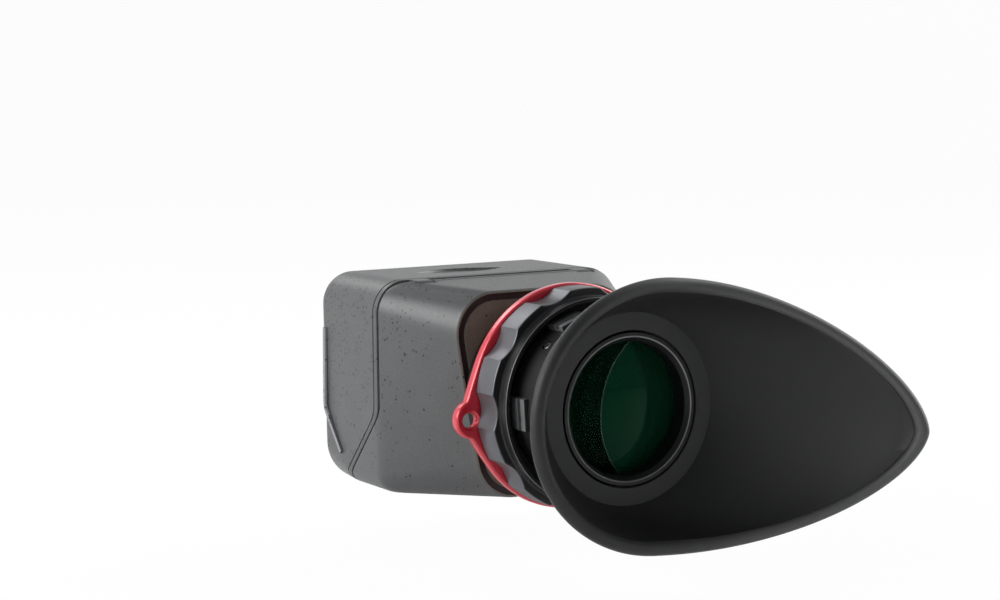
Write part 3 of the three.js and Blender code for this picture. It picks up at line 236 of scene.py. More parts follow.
class LoupeFrameSizes(PropertyGroup):
    """The frame that stays on the screen."""

    front: length("Front", -2.3, "Station of the frame's front face")
    edge_inset: length("Edge inset", 1.3, "Width of the rounded front edge")
    edge_depth: length("Edge depth", 2.7, "Depth of the rounded front edge")
    foot_bottom: length("Foot bottom", -30.3, "Lowest point of the frame")
    foot_radius: length("Foot radius", 11.5, "Rounding of the frame's lower corners")
    wall: length("Wall", 4.4, "Wall round the screen's opening")
    lip_offset: length("Lip offset", 3.1, "From the outside to the light lip")
    lip_length: length("Lip length", 1.5, "How far the light lip reaches into the hood")
    lip_top: length("Lip top", 21, "Where the light lip ends")
    lip_fade: length("Lip fade", 0.8, "Half the height over which the light lip runs out")
    rear_edge: length("Rear edge", 0.35, "Rounding of the edge at the seam")
    opening_edge: length("Opening edge", 0.5, "Rounding of the opening's front edge")
    trim_offset: length("Trim offset", 1.9, "From the seam to the fine groove ahead of it")
    trim_width: length("Trim width", 0.4, "Width of the fine groove")
    trim_depth: length("Trim depth", 0.3, "Depth of the fine groove")
    trim_draft: length("Trim draft", 0.12, "Slope of the fine groove's flanks")
    ridge_width: length("Ridge width", 1.6, "Width of the ridge on each side")
    ridge_rise: length("Ridge rise", 0.75, "Height of the ridge on each side")
    ridge_top: side_place("Ridge top", -5.2, 14.2, "Station and height of the ridge's upper end")
    ridge_bend: side_place("Ridge bend", -4.6, -8.7, "Station and height of the ridge's bend")
    ridge_foot: side_place("Ridge foot", -13.7, -20.4, "Station and height of the ridge's lower end")
    recess_length: length("Recess length", 29, "Length of the leaf-shaped recess on top")
    recess_width: length("Recess width", 11, "Twice the greatest width of the recess")
    recess_depth: length("Recess depth", 0.7, "Depth of the recess")
    recess_across: length("Recess place", -4.5, "From the axis to the middle of the recess")
    recess_station: length("Recess station", -21.5, "Station of the middle of the recess")
    boss_half_width: length("Boss half width", 4, "Half the width of each magnet's boss")
    boss_length: length("Boss length", 6, "Length of each magnet's boss")
    boss_rise: length("Boss rise", 2.8, "From a magnet's middle to the top of its boss")
    room_gap: length("Room gap", 0.4, "Gap beside the hood's bosses")
    room_top: length("Room top", -5, "Where the room for the hood's bosses ends above")
    seal_inset: length("Seal inset", 0.4, "From the frame's front edges to the foam seal")
    seal_rounding: length("Seal rounding", 0.45, "Rounding of the foam seal")
    ear_width: length("Ear width", 5, "Width of each hinge ear")
    ear_spread: length("Ear spread", 25.5, "From the axis to the middle of each ear")
    ear_sink: length("Ear sink", 0.06, "How far the ears lie below the hood's top")


class LoupeHoodSizes(PropertyGroup):
    """The light hood that flips up."""

    length: length("Length", 25.2, "From the seam back to the rear face")
    wall: length("Wall", 2.2, "Wall thickness")
    rear_wall: length("Rear wall", 2.5, "Thickness of the rear wall")
    bevel: length("Rear bevel", 0.6, "Bevel round the rear face")
    band_width: length("Band width", 2, "Width of the sunk band round the rear plate")
    band_depth: length("Band depth", 0.4, "Depth of the sunk band")
    front_edge: length("Front edge", 0.3, "Rounding of the front edge")
    taper_start: length("Taper start", 2, "Half the length over which the taper sets in")
    half_width: length("Rear half width", 27.5, "Half width of the rear face, high up")
    lower_half_width: length("Rear lower half width", 21.8, "Half width of the rear face, low down")
    top: length("Rear top", 28, "Top of the rear face")
    bottom: length("Rear bottom", -28.7, "Bottom of the rear face")
    top_radius: length("Rear top radius", 11.5, "Upper corners of the rear face")
    bottom_radius: length("Rear bottom radius", 12, "Lower corners of the rear face")
    crease_bulge: length("Rear crease bulge", 0.2, "How far the crease stands out at the rear")
    bore: length("Bore", 23.3, "Radius of the hole for the guide tube")
    roll_radius: length("Roll radius", 3, "Rounding of the front edge about the hinge pin")
    roll_half_length: length("Roll half length", 29, "Half the length of the roll that takes the pin")
    notch_reach: length("Notch reach", 5, "How far the ears' notches run on inside")


class LoupeRingSizes(PropertyGroup):
    """Strap ring and focus ring."""

    strap_front: length("Strap ring front", -72.5, "Station of the strap ring's front face")
    strap_thickness: length("Strap ring thickness", 3, "Thickness of the strap ring")
    strap_radius: length("Strap ring radius", 30.3, "Outer radius of the strap ring")
    strap_rounding: length("Strap ring rounding", 0.7, "Rounding of the strap ring's outside")
    eye_radius: length("Eye radius", 2, "Radius of the hole in each lug")
    eye_station: length("Eye station", 31.3, "From the axis to the middle of each eye")
    lug_radius: length("Lug radius", 4.1, "Radius of each lug")
    lug_fullness: length("Lug fullness", 1.1, "How much fuller a lug is towards the ring")
    lug_flank: degrees("Lug flank", 29, "Half the angle that a lug takes of the ring")
    lug_angle: degrees("Lug angle", 187.3, "Direction of the left lug, from +X towards +Z")
    grip_radius: length("Grip radius", 29.8, "Outer radius of the focus ring")
    grip_length: length("Grip length", 8.7, "Length of the scalloped part")
    collar_radius: length("Collar radius", 27.4, "Radius of the ring's plain collar")
    collar_bore: length("Collar bore", 26.3, "Inside of the ring's plain collar")
    collar_length: length("Collar length", 3, "Length of the ring's plain collar")
    collar_foot: length("Collar foot", 0.5, "Width of the slope at the collar's foot")
    collar_slope: length("Collar slope", 0.35, "Length of the slope at the collar's foot")
    line_depth: length("Line depth", 0.22, "Depth of the fine line turned in the collar")
    line_place: length("Line place", 0.55, "From the collar's end to the fine line")
    line_half_width: length("Line half width", 0.2, "Half the width of the fine line")
    bore_length: length("Bore length", 5.2, "Length of the ring's narrow bore")
    scallop_count: IntProperty(name="Scallops", default=10, min=3,
                               description="Finger scallops round the ring")
    scallop_depth: length("Scallop depth", 1.5, "Depth of each scallop")
    scallop_phase: degrees("Scallop phase", 2, "Direction of the first scallop's middle")


class LoupeLensSizes(PropertyGroup):
    """Lens barrel, glass and the rings round it."""

    flange: length("Flange", -104, "Station of the eyepiece flange")
    barrel_radius: length("Barrel radius", 23, "Radius of the barrel where it shows")
    front_radius: length("Barrel front radius", 21, "Radius of the barrel inside the guide tube")
    barrel_bore: length("Barrel bore", 20.2, "Inside of the barrel where the glass sits")
    front_bore: length("Barrel front bore", 18.6, "Inside of the barrel ahead of the glass")
    bezel_bore: length("Bezel bore", 17.6, "Opening of the ring that holds the glass")
    bezel_mouth: length("Bezel mouth", 18.6, "Outer edge of its bright bevel")
    key_width: length("Key width", 8.4, "Width of each key lug")
    key_height: length("Key height", 1.2, "Height of each key lug")
    key_length: length("Key length", 8, "Length of each key lug")
    key_count: IntProperty(name="Keys", description="Key lugs round the barrel", default=5, min=1)
    key_phase: degrees("Key phase", 183, "Direction of the first key lug")
    key_setback: length("Key setback", 0.8, "From the retaining ring to the key lugs")
    key_groove_front: length("Key groove front", 4.8, "From a key's front to its groove")
    key_groove_width: length("Key groove width", 1.3, "Width of the groove across each key")
    key_groove_depth: length("Key groove depth", 1, "Depth of the groove across each key")
    screw_radius: length("Screw radius", 1.2, "Radius of the set screws in the barrel")
    screw_count: IntProperty(name="Screws", description="Set screws round the barrel", default=3, min=1)
    screw_phase: degrees("Screw phase", 134.6, "Direction of the first set screw")
    screw_sink: length("Screw sink", 0.15, "How far the set screws lie below the surface")
    socket_depth: length("Socket depth", 1.1, "Depth of the set screws' sockets")
    screw_chamfer: length("Screw chamfer", 0.25, "Chamfer of the set screws' rims")
    screw_point: length("Screw point", 20.4, "From the axis to the set screws' points")
    bevel_depth: length("Bevel depth", 1.2, "Depth of the bright bevel round the glass")
    bevel_land: length("Bevel land", 0.35, "Width of the edge round the bright bevel")
    field_front_rise: length("Field lens front rise", 1.8, "Rise of the field lens towards the screen")
    field_rear_rise: length("Field lens rear rise", 0.9, "Rise of the field lens towards the eye")
    eye_front_rise: length("Eye lens front rise", 1, "Rise of the eye lens towards the screen")
    eye_rear_rise: length("Eye lens rear rise", 2.6, "Rise of the eye lens towards the eye")


class LoupeCupSizes(PropertyGroup):
    """The teardrop eyecup."""

    wall: length("Wall", 1.6, "Thickness of the rubber")
    flange_radius: length("Flange radius", 25, "Radius of the flat flange round the glass")
    flange_bore: length("Flange bore", 20.4, "Opening of the flange")
    collar_radius: length("Collar radius", 27, "Radius of the collar over the ring")
    collar_bore: length("Collar bore", 25.5, "Inside of the collar over the ring")
    collar_length: length("Collar length", 3.1, "Length of the collar over the ring")
    flange_thickness: length("Flange thickness", 1.4, "Thickness of the flange round the glass")
    flange_round: length("Flange rounding", 0.8, "Where the flange starts to turn into the wall")
    bead_radius: length("Bead radius", 1.8, "Radius of the rolled rim")
    half_height: length("Half height", 33.4, "Half the height of the rim")
    back_reach: length("Back reach", 39.2, "From the axis to the rim at the nose")
    tip_reach: length("Tip reach", 61.5, "From the axis to the tip at the temple")
    rim_depth: length("Rim depth", 15.5, "From the flange to the rim, above and below")
    back_lean: length("Back lean", 3.1, "How far the rim comes forward at the nose")
    side_rise: length("Side rise", 4.9, "First rise of the rim towards the temple")
    tip_sweep: length("Tip sweep", 31.2, "How far the tip sweeps back past the eye")
    belly: length("Belly", 1.6, "Fullness of the wall")
    crease: length("Crease", 0.5, "Depth of the crease beside the rolled rim")
    turn: degrees("Turn", 5.5, "How far the cup is turned on its ring")


class LoupeColours(PropertyGroup):
    """Colours of the finishes."""

    shell: colour("Shell", "#4f5051", "Moulded hood and frame")
    # Painted highlight on the crests of the frame's side ridges
    painted_highlight: colour("Painted ridge highlight", "#8b8b8f", "Ridge on the frame's side")
    # Painted light: a lighter, warmer copy of the shell for the hood's rear plate
    plate_painted_light: colour("Rear plate", "#6e6a60", "Rear plate of the hood")
    band: colour("Plate band", "#242423", "Band round the rear plate")
    # Painted highlight on the edges of the black rings
    wear_and_edge_highlight: colour("Painted edge highlight", "#7c7c7e", "Painted highlight on the edges of the black rings")
    red: colour("Strap ring", "#cc1730", "Red anodised ring")
    grip: colour("Focus ring", "#606165", "Grey ring")
    black: colour("Black metal", "#222223", "Black anodised rings and tube")
    barrel: colour("Barrel", "#272728", "Black barrel")
    # Painted highlight on the tops of the barrel's keys
    key_top_highlight: colour("Key tops", "#5a5b5c", "Painted highlight on the tops of the barrel's keys")
    rubber: colour("Eyecup", "#222222", "Soft rubber")
    # Painted reflection: a lighter grey for the eyecup's flange
    flange: colour("Eyecup flange", "#383838", "Smooth flange of the eyecup round the glass")
    inner: colour("Inside metal", "#0f0f10", "Matt black tube and rings inside")
    foam: colour("Foam", "#18181a", "Light seal")
    steel: colour("Steel", "#b4b4b6", "Pins and screws")
    nickel: colour("Nickel", "#c9c6c0", "Catch magnets")
    glass: colour("Glass", "#cfe8da", "Tint of the glass itself")
    inner_glass: colour("Inner glass", "#082a1c", "Tint of the inner glass")
    # Painted reflection in the eye lens
    ghost: colour("Painted ghost image", "#16583c", "Overlap of the painted reflections in the glass")
    coating: colour("Coating", "#0a4226", "Reflection of the coated glass")
    floor: colour("Floor", "#f7f7f7", "Floor and backdrop")
    room: colour("Room", "#f9fcff", "Light from all sides")


class LoupeStage(PropertyGroup):
    """Floor, lamps and camera."""

    floor_height: length("Floor height", -46, "Height of the floor under the axis")
    azimuth: degrees("Azimuth", -30.128, "Direction of the view round the object")
    elevation: degrees("Elevation", 6.184, "Height of the view")
    roll: degrees("Roll", -0.709, "Tilt of the view")
    camera_place: FloatVectorProperty(name="Camera", description="Place of the camera",
                                      default=(-323.83 * MM, -595.95 * MM, 92.34 * MM),
                                      subtype="TRANSLATION", unit="LENGTH")
    lens: FloatProperty(name="Lens", description="Focal length on a 36 mm sensor", default=83.43,
                        unit="CAMERA")
    room_light: FloatProperty(name="Room light", description="Strength of the light from all sides",
                              default=0.24, min=0)
    white_share: FloatProperty(name="White share", description="How much of the sheet shows as plain white",
                               default=0.96, min=0, max=1, subtype="FACTOR")
    sheet_half_width: length("Sheet half width", 3000, "Half the width of the floor sheet")
    sheet_sweep: length("Sheet sweep", 800, "Radius of the sweep behind the object")
    board_place: length("Board place", 1500, "How far to the right the white board stands")
    board_near: length("Board near edge", -1200, "Where the board ends towards the eye")
    board_height: length("Board height", 1500, "Height of the white board")
    sheet_wall: length("Sheet wall", 1800, "Height of the sheet behind the object")


# Small helpers


def mix(a, b, share):
    return a + (b - a) * share


def smoothstep(low, high, value):
    share = min(max((value - low) / (high - low), 0), 1)
    return share * share * (3 - 2 * share)


def interpolated(points, at):
    """Linear interpolation in a list of (key, value) sorted by key."""
    keys = [key for key, _ in points]
    i = min(max(bisect.bisect_right(keys, at), 1), len(points) - 1)
    (k0, v0), (k1, v1) = points[i - 1], points[i]
    return mix(v0, v1, min(max((at - k0) / (k1 - k0), 0), 1))


def round_the_axis(radius, angle, station):
    return Vector((radius * math.cos(angle), station, radius * math.sin(angle)))


def bent(start, bend, end, steps):
    """Points on a curve that sets out towards the bend and comes from there to its end."""
    return [start.lerp(bend, i / steps).lerp(bend.lerp(end, i / steps), i / steps) for i in range(steps + 1)]


def placed(points, station):
    """The points (across, height) of an outline as places at one station."""
    return [Vector((p.x, station, p.y)) for p in points]


def add_node(tree, kind, inputs=None, **settings):
    """Adds a node. An input is a number, a colour, another node's output, or a node for its first one."""
    made = tree.nodes.new(kind)
    for name, value in settings.items():
        setattr(made, name, value)
    for key, value in (inputs or {}).items():
        source = value.outputs[0] if isinstance(value, bpy.types.Node) else value
        if isinstance(source, bpy.types.NodeSocket):
            tree.links.new(source, made.inputs[key])
        else:
            made.inputs[key].default_value = source
    return made


def linked(mesh, name):
    """An object in the scene for a mesh."""
    piece = bpy.data.objects.new(name, mesh)
    bpy.context.scene.collection.objects.link(piece)
    return piece


def mesh_of(name, vertices, faces):
    """A mesh whose faces point outwards."""
    mesh = bpy.data.meshes.new(name)
    mesh.from_pydata([tuple(v) for v in vertices], [], faces)
    form = bmesh.new()
    form.from_mesh(mesh)
    bmesh.ops.remove_doubles(form, verts=form.verts, dist=SKIN_MERGE)
    bmesh.ops.recalc_face_normals(form, faces=form.faces)
    form.to_mesh(mesh)
    form.free()
    return mesh


def skin(name, rings, ends="joined"):
    """A skin over closed rings of equal count. Its ends are joined to each other or capped."""
    count = len(rings[0])
    vertices = [v for ring in rings for v in ring]
    pairs = list(zip(range(len(rings)), range(1, len(rings))))
    if ends == "joined":
        pairs.append((len(rings) - 1, 0))
    faces = [
        (a * count + i, a * count + (i + 1) % count, b * count + (i + 1) % count, b * count + i)
        for a, b in pairs
        for i in range(count)
    ]
    if ends == "capped":
        last = (len(rings) - 1) * count
        faces.append(tuple(range(count)))
        faces.append(tuple(last + i for i in range(count)))
    return linked(mesh_of(name, vertices, faces), name)


def turned(name, profile, steps=TURN_STEPS, ends="joined"):
    """A form turned about the optical axis from a closed profile of (radius, station)."""
    rings = [
        [round_the_axis(radius, math.tau * i / steps, station) for i in range(steps)]
        for radius, station in profile
    ]
    return skin(name, rings, ends)


def rounded(profile, radius, steps=4):
    """The closed profile with each corner rounded, by a radius or a list with one radius a corner."""
    radii = radius if isinstance(radius, (list, tuple)) else [radius] * len(profile)
    result = []
    for i, corner in enumerate(profile):
        here = Vector(corner)
        to_last = Vector(profile[i - 1]) - here
        to_next = Vector(profile[(i + 1) % len(profile)]) - here
        reach = min(radii[i], to_last.length * ROUNDING_SHARE, to_next.length * ROUNDING_SHARE)
        if reach < SKIN_MERGE:
            result.append(tuple(here))
            continue
        start = here + to_last.normalized() * reach
        end = here + to_next.normalized() * reach
        result += [tuple(point) for point in bent(start, here, end, steps)]
    return result


def block(name, low, high, bevel=0):
    """A box between two corners with bevelled edges."""
    form = bmesh.new()
    bmesh.ops.create_cube(form, size=1)
    middle = [(a + b) / 2 for a, b in zip(low, high)]
    size = [b - a for a, b in zip(low, high)]
    bmesh.ops.transform(form, verts=form.verts, matrix=Matrix.LocRotScale(middle, None, size))
    if bevel:
        bmesh.ops.bevel(form, geom=form.edges, offset=bevel, segments=2, affect="EDGES", profile=0.5)
    mesh = bpy.data.meshes.new(name)
    form.to_mesh(mesh)
    form.free()
    return linked(mesh, name)


def rod(name, start, end, radius, steps=ROD_STEPS):
    """A plain round rod between two points."""
    start, end = Vector(start), Vector(end)
    along = end - start
    form = bmesh.new()
    turn = along.to_track_quat("Z", "Y").to_matrix().to_4x4()
    matrix = Matrix.Translation((start + end) / 2) @ turn
    bmesh.ops.create_cone(form, cap_ends=True, segments=steps, radius1=radius, radius2=radius,
                          depth=along.length, matrix=matrix)
    mesh = bpy.data.meshes.new(name)
    form.to_mesh(mesh)
    form.free()
    return linked(mesh, name)


def joined(name, objects):
    """One object from several, which are removed."""
    form = bmesh.new()
    for source in objects:
        form.from_mesh(source.data)
        bpy.data.objects.remove(source)
    mesh = bpy.data.meshes.new(name)
    form.to_mesh(mesh)
    form.free()
    return linked(mesh, name)


def as_plain_mesh(source, name):
    """The object with its modifiers applied, as a new object. The old one is removed."""
    bpy.context.view_layer.update()
    depsgraph = bpy.context.evaluated_depsgraph_get()
    mesh = bpy.data.meshes.new_from_object(source.evaluated_get(depsgraph))
    bpy.data.objects.remove(source)
    return linked(mesh, name)


def cut(source, cutters):
    """The object with the cutters taken out of it. The cutters are removed."""
    name = source.name
    source.name = name + "_blank"
    for cutter in cutters:
        modifier = source.modifiers.new("Cut", "BOOLEAN")
        modifier.operation = "DIFFERENCE"
        modifier.solver = "EXACT"
        modifier.object = cutter
    piece = as_plain_mesh(source, name)
    for cutter in cutters:
        bpy.data.objects.remove(cutter)
    return piece


def finished(piece, material, body, slot, *nodes):
    """Gives a piece its shading and material, and lets it ride in place of its CAD nodes."""
    piece.data.shade_smooth()
    piece.data.set_sharp_from_angle(angle=SHARP_ANGLE)
    piece.data.materials.clear()
    piece.data.materials.append(material)
    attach(piece, body)
    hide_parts(*nodes)
    return piece


def off_axis(face):
    """How far a face lies from the optical axis."""
    return math.hypot(face.center.x, face.center.z)


def refinished(piece, finish, chosen):
    """Gives another finish to the faces that a test chooses."""
    piece.data.materials.append(FINISHES[finish])
    for face in piece.data.polygons:
        if chosen(face):
            face.material_index = len(piece.data.materials) - 1


# Box sections and the seam


def box_section(box):
    return {
        "half": box.half_width, "lower_half": box.lower_half_width, "top": box.top, "bottom": box.bottom,
        "top_radius": box.top_radius, "bottom_radius": box.bottom_radius, "bulge": box.crease_bulge,
        "crease": box.crease_height,
    }


def rear_section(box, hood):
    return {
        "half": hood.half_width, "lower_half": hood.lower_half_width, "top": hood.top,
        "bottom": hood.bottom, "top_radius": hood.top_radius, "bottom_radius": hood.bottom_radius,
        "bulge": hood.crease_bulge, "crease": box.crease_height,
    }


def foot_section(box, frame_sizes):
    return {**box_section(box), "bottom": frame_sizes.foot_bottom,
            "bottom_radius": frame_sizes.foot_radius, "bulge": 0}


def inset(section, depth):
    """The section made smaller all round by a depth."""
    return {
        **section,
        "half": section["half"] - depth, "lower_half": section["lower_half"] - depth,
        "top": section["top"] - depth, "bottom": section["bottom"] + depth,
        "top_radius": section["top_radius"] - depth, "bottom_radius": section["bottom_radius"] - depth,
    }


def outline(section):
    """Points (across, height) round a section, from the middle of the top over the right side."""
    upper = Vector((section["half"] - section["top_radius"], section["top"] - section["top_radius"]))
    lower = Vector((section["lower_half"] - section["bottom_radius"],
                    section["bottom"] + section["bottom_radius"]))
    apart = upper - lower
    lean = math.atan2(apart.y, apart.x)
    side = lean - math.acos((section["bottom_radius"] - section["top_radius"]) / apart.length)
    normal = Vector((math.cos(side), math.sin(side)))
    high = upper + section["top_radius"] * normal
    low = lower + section["bottom_radius"] * normal
    right = [Vector((upper.x * i / FLAT_STEPS, section["top"])) for i in range(FLAT_STEPS)]
    right += corner_arc(upper, section["top_radius"], math.pi / 2, side)
    for i in range(1, SIDE_STEPS):
        point = high.lerp(low, i / SIDE_STEPS)
        right.append(point + normal * section["bulge"] * crease_share(point.y, high.y, low.y, section))
    right += corner_arc(lower, section["bottom_radius"], side, -math.pi / 2)
    right += [Vector((lower.x * (1 - i / FLAT_STEPS), section["bottom"])) for i in range(1, FLAT_STEPS + 1)]
    left = [Vector((-p.x, p.y)) for p in reversed(right[1:-1])]
    return right + left


def crease_share(height, high, low, section):
    """How much of the crease's bulge a height gets, with the crease itself softened."""
    crease, soft = section["crease"], CREASE_SOFTNESS
    near = abs(height - crease)
    eased = near * near / (2 * soft) + soft / 2 if near < soft else near
    span = high - crease if height > crease else crease - low
    return max(0, 1 - eased / span)


def corner_arc(centre, radius, start, end):
    angles = [mix(start, end, i / CORNER_STEPS) for i in range(CORNER_STEPS + 1)]
    return [centre + radius * Vector((math.cos(a), math.sin(a))) for a in angles]


def seam_points(box):
    """The seam in side view as (height, station), sorted by height."""
    kink = Vector((box.crease_height, -box.seam_depth))
    foot = Vector((box.seam_foot_height, -box.seam_foot_depth))
    slope = (foot - kink).normalized() * box.seam_bend
    up = Vector((box.seam_bend, 0))
    points = [Vector((SEAM_END, -box.seam_depth))]
    for bend, before, after in ((kink, up, slope), (foot, -slope, -up)):
        points += bent(bend + before, bend, bend + after, SEAM_STEPS)
    points.append(Vector((-SEAM_END, -box.seam_foot_depth)))
    return sorted((p.x, p.y) for p in points)


def hood_front_station(seam, box, hood, height):
    """Where the hood's front edge lies at a height: behind the seam, rolled about the pin at the top."""
    station = interpolated(seam, height) - box.seam_gap
    pin_height = box.top - hood.roll_radius
    if height <= pin_height:
        return station
    pin_station = -(box.seam_depth + box.seam_gap + hood.roll_radius)
    above = min(height - pin_height, hood.roll_radius)
    return pin_station + math.sqrt(hood.roll_radius ** 2 - above ** 2)


def opaque(rgb, factor=1.0):
    """A colour with full alpha, made darker or lighter by a factor."""
    return (rgb[0] * factor, rgb[1] * factor, rgb[2] * factor, 1.0)


def new_material(name):
    """An empty material, its tree and the socket that gives the place on a piece."""
    material = bpy.data.materials.new(name)
    material.use_nodes = True
    tree = material.node_tree
    tree.nodes.clear()
    return material, tree, add_node(tree, "ShaderNodeTexCoord").outputs["Object"]


def grained(tree, place, size, detail, spread, shine, depth, strength):
    """A fine grain, the roughness that follows it and its bump.

    The grain's noise between the two values of spread runs through the two roughnesses of shine.
    """
    grain = add_node(tree, "ShaderNodeTexNoise", {
        "Vector": place, "Scale": 1 / size, "Detail": detail, "Roughness": 0.6,
    })
    rough = add_node(tree, "ShaderNodeMapRange", {
        "Value": grain, "From Min": spread[0], "From Max": spread[1], "To Min": shine[0], "To Max": shine[1],
    })
    bump = add_node(tree, "ShaderNodeBump", {"Height": grain, "Distance": depth, "Strength": strength})
    return grain, rough, bump


def mottled(tree, place, size, rgb, dark, light):
    """The colour wavering between a darker and a lighter one in soft clouds."""
    cloud = add_node(tree, "ShaderNodeTexNoise", {"Vector": place, "Scale": 1 / size, "Detail": 2.0})
    tone = add_node(tree, "ShaderNodeMapRange", {"Value": cloud, "From Min": 0.3, "From Max": 0.7})
    return add_node(tree, "ShaderNodeMix", {
        0: tone, 6: opaque(rgb, dark), 7: opaque(rgb, light),
    }, data_type="RGBA").outputs[2]


def spotted(tree, place, size, core, edge, strength):
    """Round spots, full up to the core's share of their size and gone at the edge's."""
    cells = add_node(tree, "ShaderNodeTexVoronoi", {"Vector": place, "Scale": 1 / size})
    return add_node(tree, "ShaderNodeMapRange", {
        "Value": cells.outputs["Distance"], "From Min": core, "From Max": edge,
        "To Min": strength, "To Max": 0.0,
    })


def moulded_abs(name, shell):
    # ABS moulded in a spark-eroded tool. The eye sees a soft broad shine over an even fine grain, with
    # dark pits and a few light grains, which are painted glints. The real grain is about 0.1 mm and is drawn
    # coarser to show.
    material, tree, place = new_material(name)
    grain, rough, bump = grained(tree, place, 0.45 * MM, 3.0, (0.2, 0.8), (0.34, 0.46), 0.06 * MM, 0.6)
    body = mottled(tree, place, 9 * MM, shell, 0.952, 1.048)
    # Pits gather where the tool wore, which here is the upper half near the screen
    along = add_node(tree, "ShaderNodeSeparateXYZ", {0: place}).outputs
    upper = add_node(tree, "ShaderNodeMapRange", {
        "Value": along["Z"], "From Min": -25 * MM, "From Max": 22 * MM, "To Max": 0.1,
    })
    forward = add_node(tree, "ShaderNodeMapRange", {
        "Value": along["Y"], "From Min": -62 * MM, "From Max": -8 * MM, "To Max": 0.13,
    })
    wear_and_edge_highlight = add_node(tree, "ShaderNodeMath", {0: upper, 1: forward}, operation="ADD")
    gathered = add_node(tree, "ShaderNodeTexNoise", {
        "Vector": place, "Scale": 1 / (3.4 * MM), "Detail": 2.0,
    })
    likely = add_node(tree, "ShaderNodeMath", {0: gathered, 1: wear_and_edge_highlight}, operation="ADD")
    chosen = add_node(tree, "ShaderNodeMapRange", {"Value": likely, "From Min": 0.62, "From Max": 0.68})
    pit = spotted(tree, place, 1.3 * MM, 0.18, 0.3, 1.0)
    speck = add_node(tree, "ShaderNodeMath", {0: pit, 1: chosen}, operation="MULTIPLY")
    # Painted glints: small light spots in the colour
    light = spotted(tree, place, 0.7 * MM, 0.12, 0.24, 0.3)
    dim = add_node(tree, "ShaderNodeMapRange", {
        "Value": grain, "From Min": 0.3, "From Max": 0.7, "To Max": 0.34,
    })
    dimmed = add_node(tree, "ShaderNodeMix", {
        0: dim, 6: body, 7: opaque(shell, 0.6),
    }, data_type="RGBA").outputs[2]
    with_painted_glints = add_node(tree, "ShaderNodeMix", {
        0: light, 6: dimmed, 7: opaque(shell, 2.2),
    }, data_type="RGBA").outputs[2]
    surface = add_node(tree, "ShaderNodeMix", {
        0: speck, 6: with_painted_glints, 7: opaque(shell, 0.12),
    }, data_type="RGBA").outputs[2]
    shader = add_node(tree, "ShaderNodeBsdfPrincipled", {
        "Base Color": surface, "Roughness": rough, "IOR": 1.53, "Normal": bump,
    })
    add_node(tree, "ShaderNodeOutputMaterial", {"Surface": shader})
    return material


def closed_cell_foam(colours):
    # Closed-cell foam, skived. The eye sees a dull black with cells half a millimetre wide.
    material, tree, place = new_material("Closed-cell foam, skived, black")
    height = spotted(tree, place, 0.5 * MM, 0.0, 0.6, 1.0)
    surface = add_node(tree, "ShaderNodeMix", {
        0: height, 6: opaque(colours.foam, 0.6), 7: opaque(colours.foam, 1.2),
    }, data_type="RGBA").outputs[2]
    bump = add_node(tree, "ShaderNodeBump", {"Height": height, "Distance": 0.08 * MM, "Strength": 0.6})
    shader = add_node(tree, "ShaderNodeBsdfPrincipled", {
        "Base Color": surface, "Roughness": 0.92, "IOR": 1.5, "Normal": bump,
    })
    add_node(tree, "ShaderNodeOutputMaterial", {"Surface": shader})
    return material


def worked_metal(name, rgb, rough, metallic, grain_size, spread):
    # Metal that was turned, blasted or plated. The eye sees one colour whose shine wavers with the grain.
    material, tree, place = new_material(name)
    surface = mottled(tree, place, 6 * MM, rgb, 1 - spread, 1 + spread)
    _, shine, bump = grained(tree, place, grain_size, 2.0, (0.25, 0.75), (rough - 0.05, rough + 0.07),
                             0.02 * MM, 0.35)
    shader = add_node(tree, "ShaderNodeBsdfPrincipled", {
        "Base Color": surface, "Metallic": metallic, "Roughness": shine, "Normal": bump,
    })
    add_node(tree, "ShaderNodeOutputMaterial", {"Surface": shader})
    return material


def dyed_aluminium(colours):
    # Aluminium, blasted, dyed red and sealed. The eye sees a clear red under a pale satin shine.
    material, tree, place = new_material("Aluminium, anodised red")
    grain, shine, bump = grained(tree, place, 0.3 * MM, 2.0, (0.25, 0.75), (0.26, 0.36), 0.02 * MM, 0.3)
    surface = add_node(tree, "ShaderNodeMix", {
        0: grain, 6: opaque(colours.red, 0.9), 7: opaque(colours.red, 1.1),
    }, data_type="RGBA").outputs[2]
    shader = add_node(tree, "ShaderNodeBsdfPrincipled", {
        "Base Color": surface, "Metallic": 0.35, "Roughness": shine, "Normal": bump,
        "Coat Weight": 0.7, "Coat Roughness": 0.25, "Coat IOR": 1.7,
    })
    add_node(tree, "ShaderNodeOutputMaterial", {"Surface": shader})
    return material


def turned_acetal(name, rgb):
    # Acetal, turned. The eye sees a deep black with a soft sheen and the faint rings of the tool.
    material, tree, place = new_material(name)
    along = add_node(tree, "ShaderNodeSeparateXYZ", {0: place}).outputs["Y"]
    rings = add_node(tree, "ShaderNodeTexNoise", {
        "W": along, "Scale": 1 / (0.3 * MM), "Detail": 1.0,
    }, noise_dimensions="1D")
    smear = add_node(tree, "ShaderNodeTexNoise", {"Vector": place, "Scale": 1 / (5 * MM), "Detail": 2.0})
    shine = add_node(tree, "ShaderNodeMapRange", {
        "Value": smear, "From Min": 0.3, "From Max": 0.7, "To Min": 0.26, "To Max": 0.38,
    })
    surface = add_node(tree, "ShaderNodeMix", {
        0: smear, 6: opaque(rgb, 0.8), 7: opaque(rgb, 1.3),
    }, data_type="RGBA").outputs[2]
    bump = add_node(tree, "ShaderNodeBump", {"Height": rings, "Distance": 0.01 * MM, "Strength": 0.25})
    shader = add_node(tree, "ShaderNodeBsdfPrincipled", {
        "Base Color": surface, "Roughness": shine, "IOR": 1.48, "Normal": bump,
    })
    add_node(tree, "ShaderNodeOutputMaterial", {"Surface": shader})
    return material


